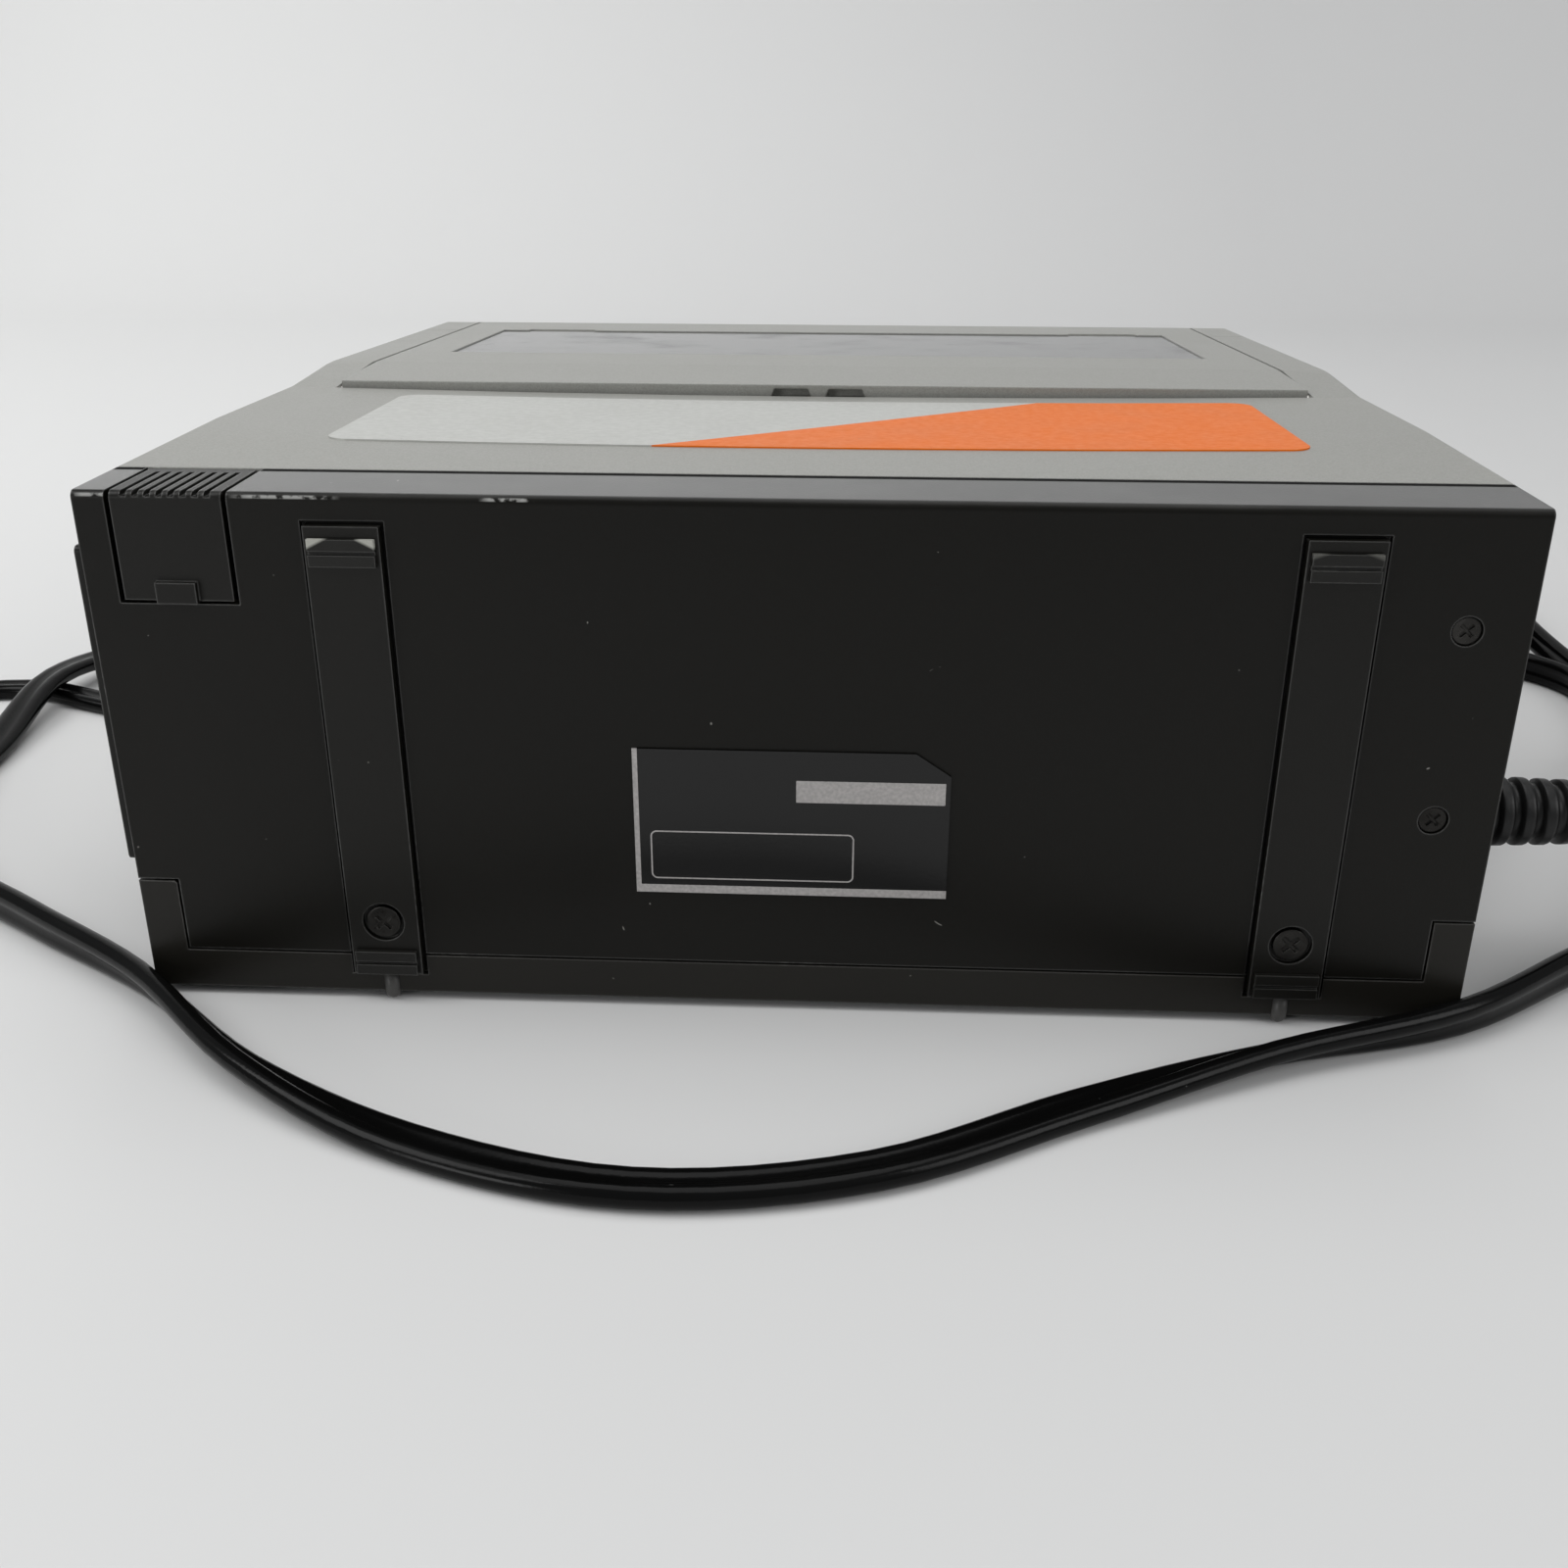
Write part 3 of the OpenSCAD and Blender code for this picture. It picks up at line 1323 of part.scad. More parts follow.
module lead_boot() color(rubber_black) {
    rod_x(boot_neck_r, [-side_x - eps, -inner_x + 1], boot_d, boot_h);
    rod_x(boot_neck_r + 1.5, [-inner_x, -inner_x + 1.5], boot_d, boot_h);
    rod_x(boot_radius(0.4) - boot_core, [-side_x - boot_straight - eps, -side_x], boot_d, boot_h);
    boot_arc(boot_radius(0.8) - boot_core, 0, boot_turn);
    pitch = boot_straight / straight_ribs;
    for (i = [0:straight_ribs - 1])
        rod_x(boot_radius(0.4 * i / straight_ribs), [-side_x - i * pitch - 0.6 * pitch, -side_x - i * pitch],
            boot_d, boot_h);
    step = boot_turn / bend_ribs;
    for (i = [0:bend_ribs - 1])
        boot_arc(boot_radius(0.4 + 0.6 * i / bend_ribs), i * step, 0.6 * step);
}

module lead_start() color(rubber_black)
    flat_cord(smooth([for (p = start_route) route_point(p)], 4), 5);

module lead_coil() color(rubber_black)
    flat_cord(coil_route, 3);

module lead_run() color(rubber_black)
    flat_cord(smooth([for (p = run_route) route_point(p)], 4), 5);

// Moulded plug with a hollow barrel, lying on its side
plug_at = run_route[len(run_route) - 1];
plug_neck = 12;
plug_grip = 22;
barrel_r = 2.75;
barrel_l = 9.5;
module lead_plug() color(case_black)
    place(plug_at[0], plug_at[1], plug_r + floor_gap - foot_h)
        rotate([-90, 0, 0])
            difference() {
                union() {
                    cylinder(r1 = 4, r2 = plug_r, h = plug_neck);
                    translate([0, 0, plug_neck - eps])
                        cylinder(r = plug_r, h = plug_grip);
                    translate([0, 0, plug_neck + plug_grip - 2 * eps])
                        cylinder(r = barrel_r, h = barrel_l);
                }
                translate([0, 0, plug_neck + plug_grip])
                    cylinder(r = barrel_r - 1.5, h = barrel_l + over);
                // finger grooves
                for (i = [0:4])
                    translate([0, 0, plug_neck + 3 + 3.4 * i])
                        difference() {
                            cylinder(r = plug_r + over, h = 1.4);
                            translate([0, 0, -over])
                                cylinder(r = plug_r - 0.5, h = 1.4 + 2 * over);
                        }
            }

// ---------------------------------------------------------------- pieces

bottom_shell();
rear_shell();
top_cover();
front_panel();
right_side_panel();
left_side_panel();
feet();
right_foot_rail();
left_foot_rail();
rail_pads();
rail_screws();
case_screws();
rating_plate();
top_sticker();
aerial_door();
rf_converter();
channel_switch();
strap_eyes();
cassette_lid();
lid_window();
cassette_holder();
lid_hinge_pins();
deck_plate();
drum_base();
lower_drum();
upper_drum();
supply_reel();
take_up_reel();
idler_wheel();
capstan();
capstan_bearing();
capstan_motor();
motor_pulley();
drive_belt();
pinch_arm();
pinch_roller();
tape_guides();
tape_heads();
main_board();
battery_pack();
battery_door();
eject_key();
rewind_key();
stop_key();
play_key();
forward_key();
pause_key();
record_key();
key_board();
display_window();
power_switch();
tracking_knob();
camera_socket();
av_jacks();
lead_boot();
lead_start();
lead_coil();
lead_run();
lead_plug();
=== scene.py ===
"""Looks of a portable video cassette recorder seen from behind, with its flat power lead.

The sections follow the object as it is put together: the studio and the lead first, then the case,
the rear panel's fittings, the lid, the deck inside it and the controls. Lengths are in metres, in the
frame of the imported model: +Z up, the rear panel towards +Y and the controls towards -Y.
"""
import math

import bpy
import numpy as np
from mathutils import Matrix, Vector


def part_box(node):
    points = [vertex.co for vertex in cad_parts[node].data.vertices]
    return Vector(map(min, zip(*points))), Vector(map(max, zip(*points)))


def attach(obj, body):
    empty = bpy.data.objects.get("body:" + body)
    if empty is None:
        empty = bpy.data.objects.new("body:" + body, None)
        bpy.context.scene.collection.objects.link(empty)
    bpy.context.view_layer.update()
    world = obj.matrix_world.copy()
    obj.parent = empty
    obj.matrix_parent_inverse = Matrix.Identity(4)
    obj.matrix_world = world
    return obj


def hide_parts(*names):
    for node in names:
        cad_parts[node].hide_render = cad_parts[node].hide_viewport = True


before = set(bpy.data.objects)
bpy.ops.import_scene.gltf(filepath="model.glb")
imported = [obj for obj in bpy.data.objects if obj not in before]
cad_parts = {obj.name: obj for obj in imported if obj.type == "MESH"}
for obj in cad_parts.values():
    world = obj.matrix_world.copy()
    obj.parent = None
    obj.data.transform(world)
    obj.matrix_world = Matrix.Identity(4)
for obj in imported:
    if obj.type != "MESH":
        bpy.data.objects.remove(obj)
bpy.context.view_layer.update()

# ---------------------------------------------------------------- camera
# A hand-held camera close behind the recorder, a little above its top and tilted down. Its place
# and its three turns follow the case's corners and seams in the photograph.
camera = bpy.data.objects.new("camera", bpy.data.cameras.new("camera"))
bpy.context.collection.objects.link(camera)
bpy.context.scene.camera = camera
camera.data.sensor_width = 36
camera.data.lens = 36.342
heading, tilt, lean = math.pi + 0.049, -0.409, -0.002
camera.matrix_world = (
    Matrix.Translation((-0.0092, 0.3494, 0.1387))
    @ Matrix.Rotation(heading, 4, "Z") @ Matrix.Rotation(tilt, 4, "X")
    @ Matrix.Rotation(lean, 4, "Y") @ Matrix.Rotation(math.pi / 2, 4, "X")
)

# ---------------------------------------------------------------- studio
# A pale sweep of matt board: a level floor that curves up into the backdrop behind the recorder, its colour
# painted paler towards the window as painted light.
# A window and a door light it from the left, a weaker lamp from the right and a broad one from above.


def skin_over(name, points, round_columns=False, capped=False):
    """Mesh over a grid of points, rows by columns by three. Each face joins four neighbouring points;
    round_columns joins the last column to the first, and capped closes the first and last rows."""
    rows, columns = points.shape[:2]
    index = np.arange(rows * columns).reshape(rows, columns)
    if round_columns:
        index = np.concatenate([index, index[:, :1]], axis=1)
    corners = [index[:-1, :-1], index[:-1, 1:], index[1:, 1:], index[1:, :-1]]
    faces = np.stack(corners, axis=-1).reshape(-1, 4).tolist()
    if capped:
        faces += [index[0, :columns][::-1].tolist(), index[-1, :columns].tolist()]
    mesh = bpy.data.meshes.new(name)
    mesh.from_pydata(points.reshape(-1, 3).tolist(), [], faces)
    mesh.shade_smooth()
    piece = bpy.data.objects.new(name, mesh)
    bpy.context.collection.objects.link(piece)
    return piece


sweep_near, sweep_far, sweep_side = 0.9, -0.75, 1.6  # ends towards the camera, at the bend, to each side
bend_radius, backdrop_height = 0.35, 1.5
bend = np.radians(np.linspace(0, 90, 25))
profile = np.concatenate([
    [[sweep_near, 0.0]],
    np.stack([sweep_far - bend_radius * np.sin(bend), bend_radius * (1 - np.cos(bend))], axis=1),
    [[sweep_far - bend_radius, backdrop_height]],
])
across = np.linspace(sweep_side, -sweep_side, 9)
sweep_points = np.zeros((len(profile), len(across), 3))
sweep_points[..., 0] = across
sweep_points[..., 1:] = profile[:, None, :]
sweep = skin_over("sweep", sweep_points)


def new_finish(name, **sockets):
    """Material with a Principled shader whose sockets have the given plain values, such as
    Roughness=0.4; an underscore in a name stands for a space. Returns the node tree and the shader."""
    finish = bpy.data.materials.new(name)
    finish.use_nodes = True
    shader = finish.node_tree.nodes["Principled BSDF"]
    for socket, value in sockets.items():
        shader.inputs[socket.replace("_", " ")].default_value = value
    return finish, finish.node_tree, shader


def add(tree, kind, links=(), **settings):
    """Node of a kind in a tree. Settings are its properties; links are pairs of an input's name or
    number and what feeds it, an output socket or a plain value."""
    made = tree.nodes.new(kind)
    for setting, value in settings.items():
        setattr(made, setting, value)
    for socket, source in links:
        if isinstance(source, bpy.types.NodeSocket):
            tree.links.new(source, made.inputs[socket])
        else:
            made.inputs[socket].default_value = source
    return made


def mixed(tree, share, below, above):
    """Colour between below and above, colours or sockets, by a share from 0 to 1."""
    mix = add(tree, "ShaderNodeMix", [(0, share), (6, below), (7, above)], data_type="RGBA")
    return mix.outputs[2]


def sums(tree, operation, *values):
    """Result of one Math node."""
    return add(tree, "ShaderNodeMath", list(enumerate(values)), operation=operation).outputs[0]


def ramp(tree, value, start, end, low=0.0, high=1.0):
    """A value carried from the range start-end to low-high, and held there outside it."""
    limits = [("From Min", start), ("From Max", end), ("To Min", low), ("To Max", high)]
    return add(tree, "ShaderNodeMapRange", [("Value", value), *limits]).outputs[0]


def object_place(tree):
    """The shaded point's x, y and z in the model's frame."""
    place = add(tree, "ShaderNodeTexCoord").outputs["Object"]
    return add(tree, "ShaderNodeSeparateXYZ", [(0, place)]).outputs


sweep_finish, tree, shader = new_finish("sweep_board", Roughness=0.9)
x, y, z = object_place(tree)
# painted light: the board's colour is painted paler towards the window, on the left of the picture
painted_window_light = ramp(tree, x, -0.3, 0.6)  # towards the window, on the left of the picture
board = mixed(tree, painted_window_light, (0.62, 0.62, 0.62, 1), (0.84, 0.84, 0.835, 1))
tree.links.new(board, shader.inputs["Base Color"])
sweep.data.materials.append(sweep_finish)


def hang_lamp(name, place, aim, size, power):
    """Square soft lamp at a place, turned so that it shines at a point."""
    lamp = bpy.data.objects.new(name, bpy.data.lights.new(name, "AREA"))
    lamp.data.shape, lamp.data.size, lamp.data.energy = "SQUARE", size, power
    lamp.location = place
    lamp.rotation_euler = (Vector(aim) - Vector(place)).to_track_quat("-Z", "Y").to_euler()
    bpy.context.collection.objects.link(lamp)


hang_lamp("window_lamp", (1.05, 0.35, 1.15), (0.0, 0.0, 0.05), 0.9, 9)
hang_lamp("door_lamp", (1.3, 1.5, 0.4), (0.0, 0.1, 0.04), 0.6, 6)
hang_lamp("ceiling_lamp", (-0.05, -0.15, 1.6), (0.0, 0.0, 0.0), 1.5, 11.2)
hang_lamp("wall_lamp", (-1.2, 0.6, 0.8), (-0.3, -0.2, 0.1), 0.8, 6)
room = bpy.data.worlds.new("room")
bpy.context.scene.world = room
room.use_nodes = True
room.node_tree.nodes["Background"].inputs["Color"].default_value = (0.93, 0.95, 0.96, 1)
room.node_tree.nodes["Background"].inputs["Strength"].default_value = 0.28
bpy.context.scene.view_settings.view_transform = "Standard"

# ---------------------------------------------------------------- lead
# A flat two-core lead in satin black PVC, with a groove along the middle of each side. It leaves the
# left side of the case, is wound up beside it, and then runs behind the recorder and round to its plug.
rear_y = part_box("rear_shell")[1].y
lead_width, lead_thickness = 0.0071, 0.0036
floor_gap = 0.0001  # between the lead and the floor

# Route points are (x, distance from the rear panel, lift off the floor, roll in degrees).
start_route = [
    (-0.1463, 0.036, 0.0246, 90), (-0.1575, 0.056, 0.0217, 90), (-0.1675, 0.0765, 0.0145, 90),
    (-0.176, 0.0975, 0.0069, 90), (-0.184, 0.119, 0.0013, 90), (-0.189, 0.141, 0, 90),
    (-0.1885, 0.1635, 0, 90), (-0.1735, 0.18, 0, 90), (-0.1512, 0.183, 0, 90),
]
run_route = [
    (-0.1911, 0.2229, 0.0077, 90), (-0.1911, 0.2129, 0.0077, 90), (-0.1896, 0.198, 0.004, 90),
    (-0.193, 0.164, 0.0006, 90), (-0.199, 0.13, 0, 90), (-0.195, 0.096, 0, 90), (-0.184, 0.063, 0, 90),
    (-0.1645, 0.035, 0, 90), (-0.135, 0.0175, 0, 90), (-0.107, -0.0025, 0, 75), (-0.0745, -0.014, 0, 40),
    (-0.0435, -0.0285, 0.0001, 0), (-0.013, -0.045, 0.0001, 0), (0.0205, -0.0505, 0.0001, 0),
    (0.054, -0.042, 0.0001, 0), (0.0835, -0.025, 0.0001, 40), (0.109, -0.0015, 0, 70),
    (0.1375, 0.018, 0, 90), (0.165, 0.0385, 0.0001, 90), (0.1815, 0.0685, 0.0002, 75),
    (0.187, 0.1025, 0.0006, 25), (0.19, 0.137, 0.0044, 0), (0.1815, 0.168, 0.0006, 20),
    (0.154, 0.1845, 0.0002, 80), (0.124, 0.175, 0.0001, 90), (0.117, 0.144, 0, 90),
    (0.138, 0.1215, 0.0001, 45), (0.169, 0.128, 0.0001, 0), (0.1995, 0.139, 0.0001, 0),
    (0.228, 0.1265, 0, 0), (0.234, 0.095, 0, 0),
]
coil_middle = (-0.1512, 0.2229)
turn_gap = 0.0006  # between neighbouring turns
coil_inner, coil_half = 0.031, 675  # inner radius, and degrees wound to each side of the middle
coil_pitch, coil_rise = lead_thickness + turn_gap, lead_width + turn_gap


def middle_line(route):
    """Middle of the lead over route points: y from the rear panel, and z from the lift and half the
    height of the section as it is rolled."""
    x, back, lift, roll = np.array(route, float).T
    half_height = (lead_thickness + (lead_width - lead_thickness) * np.abs(np.sin(np.radians(roll)))) / 2
    return np.stack([x, rear_y - back, lift + floor_gap + half_height, roll], axis=1)


def smooth_through(points, pieces):
    """Curve through all points: between two of them it is the cubic whose slopes are half the step
    from the point before to the point after."""
    ahead = np.concatenate([points[1:], points[-1:]])
    before = np.concatenate([points[:1], points[:-1]])
    beyond = np.concatenate([points[2:], points[-1:], points[-1:]])
    t = (np.arange(pieces) / pieces)[None, :, None]
    a, b, c, e = (part[:-1, None, :] for part in (before, points, ahead, beyond))
    curve = b + t * (c - a) / 2 + t**2 * (2 * a - 5 * b + 4 * c - e) / 2 + t**3 * (3 * b - a - 3 * c + e) / 2
    return np.concatenate([curve.reshape(-1, points.shape[1]), points[-1:]])


angle = np.arange(-coil_half, coil_half + 1, 5.0)
radius = coil_inner + coil_pitch * (
    np.clip((np.abs(angle) - 90) / 180, 0, 1) + np.maximum(np.abs(angle) - 270, 0) / 360
)
climb = np.clip((angle + 90) / 180, 0, 1)
turn = np.radians(angle + coil_half)
coil_route = np.stack([
    coil_middle[0] + radius * np.sin(turn), coil_middle[1] - radius * np.cos(turn),
    coil_rise * climb**2 * (3 - 2 * climb), np.full(len(angle), 90.0),
], axis=1)
lead_line = np.concatenate([
    smooth_through(middle_line(start_route), 6)[:-1], middle_line(coil_route)[:-1],
    smooth_through(middle_line(run_route), 6),
])

# The section: a round core at each edge, and a shallow groove between them above and below.
core_x = (lead_width - lead_thickness) / 2
edge = np.radians(np.linspace(-90, 90, 9))
core_radius = lead_thickness / 2
right_core = np.stack([core_x + core_radius * np.cos(edge), core_radius * np.sin(edge)], axis=1)
groove_x = np.array([0.55, 0, -0.55]) * core_x
groove_z = np.array([0.93, 0.66, 0.93]) * core_radius
upper_groove = np.stack([groove_x, groove_z], axis=1)
section = np.concatenate([right_core, upper_groove, -right_core, -upper_groove])


def swept(line, outline, roll=None):
    """Rings of an outline carried along a line: each ring stands square to the line, level at roll 0
    and turned about the line by roll degrees. An outline may differ from ring to ring."""
    along = np.gradient(line, axis=0)
    along /= np.linalg.norm(along, axis=1, keepdims=True)
    side = np.cross([0.0, 0.0, 1.0], along)
    side /= np.linalg.norm(side, axis=1, keepdims=True)
    up = np.cross(along, side)
    turn = np.radians(np.zeros(len(line)) if roll is None else roll)[:, None]
    wide = side * np.cos(turn) + up * np.sin(turn)
    thick = up * np.cos(turn) - side * np.sin(turn)
    return line[:, None, :] + outline[..., :1] * wide[:, None, :] + outline[..., 1:] * thick[:, None, :]


lead = skin_over("power_lead", swept(lead_line[:, :3], section, lead_line[:, 3]), True, True)
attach(lead, "case")
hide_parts("lead_start", "lead_coil", "lead_run")

# The strain relief: one ribbed, tapered sleeve of soft black rubber, moulded on the lead and held
# in the case by a collar. It leaves the side straight and then bends back along the lead.
boot_exit = np.array([-0.1075, rear_y - 0.024, 0.0282])
boot_straight, boot_bend, boot_turn = 0.018, 0.024, math.radians(60)
rib_pitch, rib_radius, tip_share, groove_depth = 0.0036, 0.0063, 0.75, 0.0011
boot_length = boot_straight + boot_bend * boot_turn
collar_depth, collar_radius = 0.004, 0.0034
travel = np.arange(-collar_depth, boot_length + 1e-6, rib_pitch / 12)
bent = np.clip((travel - boot_straight) / boot_bend, 0, boot_turn)
boot_line = np.stack([
    boot_exit[0] - np.minimum(travel, boot_straight) - boot_bend * np.sin(bent),
    boot_exit[1] - boot_bend * (1 - np.cos(bent)),
    np.full(len(travel), boot_exit[2]),
], axis=1)
share = np.clip(travel / boot_length, 0, 1)
wave = np.abs(((travel / rib_pitch + 0.7) % 1) - 0.5) * 2
groove = np.clip((wave - 0.45) / 0.3, 0, 1)
groove = groove**2 * (3 - 2 * groove)
boot_radius = rib_radius * (1 - (1 - tip_share) * share) - groove_depth * groove * (travel > 0)
boot_radius = np.where(travel < 0, collar_radius, boot_radius)
around = np.radians(np.arange(0, 360, 10))
ring = np.stack([np.cos(around), np.sin(around)], axis=1)
boot = skin_over("strain_relief", swept(boot_line, boot_radius[:, None, None] * ring), True, True)
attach(boot, "case")
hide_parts("lead_boot")


def new_group(name, inputs, outputs):
    """Shader node group. Inputs are (name, socket kind, plain value) and outputs (name, socket kind).
    Returns the group, and the sockets inside it: a dictionary of inputs, and the output node."""
    group = bpy.data.node_groups.new(name, "ShaderNodeTree")
    for title, kind, value in inputs:
        socket = group.interface.new_socket(title, in_out="INPUT", socket_type="NodeSocket" + kind)
        if value is not None:
            socket.default_value = value
    for title, kind in outputs:
        group.interface.new_socket(title, in_out="OUTPUT", socket_type="NodeSocket" + kind)
    given = add(group, "NodeGroupInput").outputs
    return group, given, add(group, "NodeGroupOutput")


def use(tree, group, **values):
    """One of the groups above, placed in a material's tree with its own values or sockets."""
    placed = add(tree, "ShaderNodeGroup", node_tree=group)
    for title, value in values.items():
        title = title.replace("_", " ")
        if isinstance(value, bpy.types.NodeSocket):
            tree.links.new(value, placed.inputs[title])
        else:
            placed.inputs[title].default_value = value
    return placed.outputs


def noise(tree, scale, detail, place=None):
    """Cloudy noise from 0 to 1 with so many clouds per metre, at a place or else at the shaded point."""
    if place is None:
        place = add(tree, "ShaderNodeTexCoord").outputs["Object"]
    links = [("Vector", place), ("Scale", scale), ("Detail", detail)]
    return add(tree, "ShaderNodeTexNoise", links).outputs["Fac"]


# Dust, lint and grease: fine specks anywhere, and a thin film where the surface looks up.
dust, given, result = new_group(
    "dust", [("Specks per metre", "Float", 260.0), ("Film", "Float", 0.3)], [("Mask", "Float")]
)
place = add(dust, "ShaderNodeTexCoord").outputs["Object"]
warp = add(dust, "ShaderNodeTexNoise", [("Vector", place), ("Scale", 90.0)]).outputs["Color"]
bent_place = add(dust, "ShaderNodeMix", [(0, 0.02), (4, place), (5, warp)], data_type="VECTOR").outputs[1]
cells = add(dust, "ShaderNodeTexVoronoi", [("Vector", bent_place), ("Scale", given["Specks per metre"])])
speck = ramp(dust, cells.outputs["Distance"], 0.055, 0.03)
chance = add(dust, "ShaderNodeSeparateColor", [(0, cells.outputs["Color"])]).outputs[0]
rare = ramp(dust, chance, 0.80, 0.84)
normal = add(dust, "ShaderNodeNewGeometry").outputs["Normal"]
up = add(dust, "ShaderNodeSeparateXYZ", [(0, normal)]).outputs[2]
film_noise = noise(dust, 55.0, 6.0)
film = sums(dust, "MULTIPLY", ramp(dust, up, 0.3, 0.95), ramp(dust, film_noise, 0.45, 0.75))
film = sums(dust, "MULTIPLY", film, given["Film"])
both = sums(dust, "MAXIMUM", sums(dust, "MULTIPLY", speck, rare), film)
dust.links.new(both, result.inputs["Mask"])

# Fine relief of a moulded or drawn surface: a cloud of small bumps over the normal that it is given.
grain, given, result = new_group(
    "grain",
    [("Bumps per metre", "Float", 2600.0), ("Depth", "Float", 0.00003), ("Normal", "Vector", None)],
    [("Normal", "Vector"), ("Height", "Float")],
)
bumps = noise(grain, given["Bumps per metre"], 3.0)
relief = add(grain, "ShaderNodeBump", [
    ("Height", bumps), ("Distance", given["Depth"]), ("Normal", given["Normal"]), ("Strength", 1.0),
])
grain.links.new(relief.outputs["Normal"], result.inputs["Normal"])
grain.links.new(bumps, result.inputs["Height"])


def rubbery(name, colour, roughness, grain_size, grain_depth, dust_colour, film=0.25, **sockets):
    """Soft black PVC or rubber: an even colour, a little dust, fine relief and patchy gloss."""
    finish, tree, shader = new_finish(name, **sockets)
    dusty = use(tree, dust, Film=film)["Mask"]
    fine = use(tree, grain, Bumps_per_metre=grain_size, Depth=grain_depth)
    gloss = ramp(tree, noise(tree, 60.0, 4.0), 0.3, 0.7, roughness - 0.06, roughness + 0.06)
    tree.links.new(mixed(tree, dusty, colour, dust_colour), shader.inputs["Base Color"])
    tree.links.new(gloss, shader.inputs["Roughness"])
    tree.links.new(fine["Normal"], shader.inputs["Normal"])
    return finish


sheath = rubbery(
    "lead_pvc", (0.0025, 0.0025, 0.0025, 1), 0.19, 1500.0, 0.00002, (0.06, 0.06, 0.058, 1), 0.02,
    Specular_IOR_Level=0.13,
)
lead.data.materials.append(sheath)
boot_rubber = rubbery(
    "boot_rubber", (0.006, 0.006, 0.006, 1), 0.42, 1300.0, 0.00003, (0.06, 0.06, 0.058, 1), 0.1,
    Specular_IOR_Level=0.35,
)
boot.data.materials.append(boot_rubber)


def dress(finish, *names):
    """Gives a finish to the CAD nodes named."""
    for name in names:
        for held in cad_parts[name].material_slots:
            held.material = finish


# The plug: a moulded black grip with finger grooves, and a nickel-plated barrel for a round socket.
barrel_length = 0.0095
plug_finish, tree, shader = new_finish("plug_pvc_and_barrel")
x, y, z = object_place(tree)
barrel = sums(tree, "GREATER_THAN", y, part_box("lead_plug")[1].y - barrel_length)
grip = mixed(tree, use(tree, dust, Film=0.2)["Mask"], (0.012, 0.012, 0.012, 1), (0.1, 0.1, 0.1, 1))
tree.links.new(mixed(tree, barrel, grip, (0.7, 0.68, 0.62, 1)), shader.inputs["Base Color"])
tree.links.new(barrel, shader.inputs["Metallic"])
tree.links.new(ramp(tree, barrel, 0, 1, 0.42, 0.24), shader.inputs["Roughness"])
fine = use(tree, grain, Bumps_per_metre=1500.0, Depth=0.00002)
tree.links.new(fine["Normal"], shader.inputs["Normal"])
dress(plug_finish, "lead_plug")

# ---------------------------------------------------------------- case
# The rear shell, the side panels, the rails and the small doors are injection moulded in black ABS
# with a fine matt texture from the mould. The edges are lightly rounded, rubbed pale with use, and
# painted lighter all along as a painted highlight.


# Rounded edges and their wear: the normal is bent within a radius of each edge, and the mask marks
# where it is bent most, broken up by noise so that only some stretches are rubbed.
edges, given, result = new_group(
    "edges", [("Radius", "Float", 0.0004), ("Rubbed", "Float", 0.5)],
    [("Normal", "Vector"), ("Wear", "Float"), ("Edge", "Float")],
)
rounded = add(edges, "ShaderNodeBevel", [("Radius", given["Radius"])], samples=6).outputs["Normal"]
flat = add(edges, "ShaderNodeNewGeometry").outputs["Normal"]
dot = add(edges, "ShaderNodeVectorMath", [(0, rounded), (1, flat)], operation="DOT_PRODUCT")
agree = dot.outputs["Value"]
near_edge = ramp(edges, agree, 0.97, 0.80)
stretches = ramp(edges, noise(edges, 38.0, 5.0), 0.50, 0.68)
chips = ramp(edges, noise(edges, 900.0, 4.0), 0.40, 0.62)
patches = sums(edges, "MULTIPLY", stretches, chips)
rubbed = sums(edges, "MULTIPLY", sums(edges, "MULTIPLY", near_edge, patches), given["Rubbed"])
edges.links.new(rounded, result.inputs["Normal"])
edges.links.new(rubbed, result.inputs["Wear"])
# Edge marks a narrow band along every edge, where moulded paints a highlight and adds a coat
edges.links.new(ramp(edges, agree, 0.995, 0.90), result.inputs["Edge"])


def moulded(name, colour, worn, dust_colour, roughness, grain_size, grain_depth, rubbed, radius=0.0004,
        film=0.3, specks=260.0, gleam=0.9, clouding=0.14, **sockets):
    """Injection-moulded plastic: its colour with faint clouding, a painted highlight along every edge,
    pale rubbed edges, dust, the matt texture of the mould, and gloss that varies a little where hands polish
    it."""
    finish, tree, shader = new_finish(name, **sockets)
    edge = use(tree, edges, Radius=radius, Rubbed=rubbed)
    fine = use(tree, grain, Bumps_per_metre=grain_size, Depth=grain_depth, Normal=edge["Normal"])
    cloud = noise(tree, 24.0, 5.0)
    darker = tuple((1 - clouding) * part for part in colour[:3]) + (1,)
    base = mixed(tree, ramp(tree, cloud, 0.35, 0.65), darker, colour)
    # painted highlight: a narrow band along every edge is painted lighter, part way to the worn colour
    painted_edge_highlight = tuple(0.4 * part + 0.6 * own for part, own in zip(worn[:3], colour[:3])) + (1,)
    base = mixed(tree, sums(tree, "MULTIPLY", edge["Edge"], 0.45 * gleam), base, painted_edge_highlight)
    base = mixed(tree, edge["Wear"], base, worn)
    dusty = use(tree, dust, Film=film, Specks_per_metre=specks)["Mask"]
    base = mixed(tree, dusty, base, dust_colour)
    tree.links.new(base, shader.inputs["Base Color"])
    gloss = ramp(tree, cloud, 0.3, 0.7, roughness - 0.05, roughness + 0.05)
    tree.links.new(gloss, shader.inputs["Roughness"])
    tree.links.new(fine["Normal"], shader.inputs["Normal"])
    # edges are burnished by hands and cloths, and gleam
    tree.links.new(sums(tree, "MULTIPLY", edge["Edge"], gleam), shader.inputs["Coat Weight"])
    shader.inputs["Coat Roughness"].default_value = 0.16
    return finish, tree, shader, base


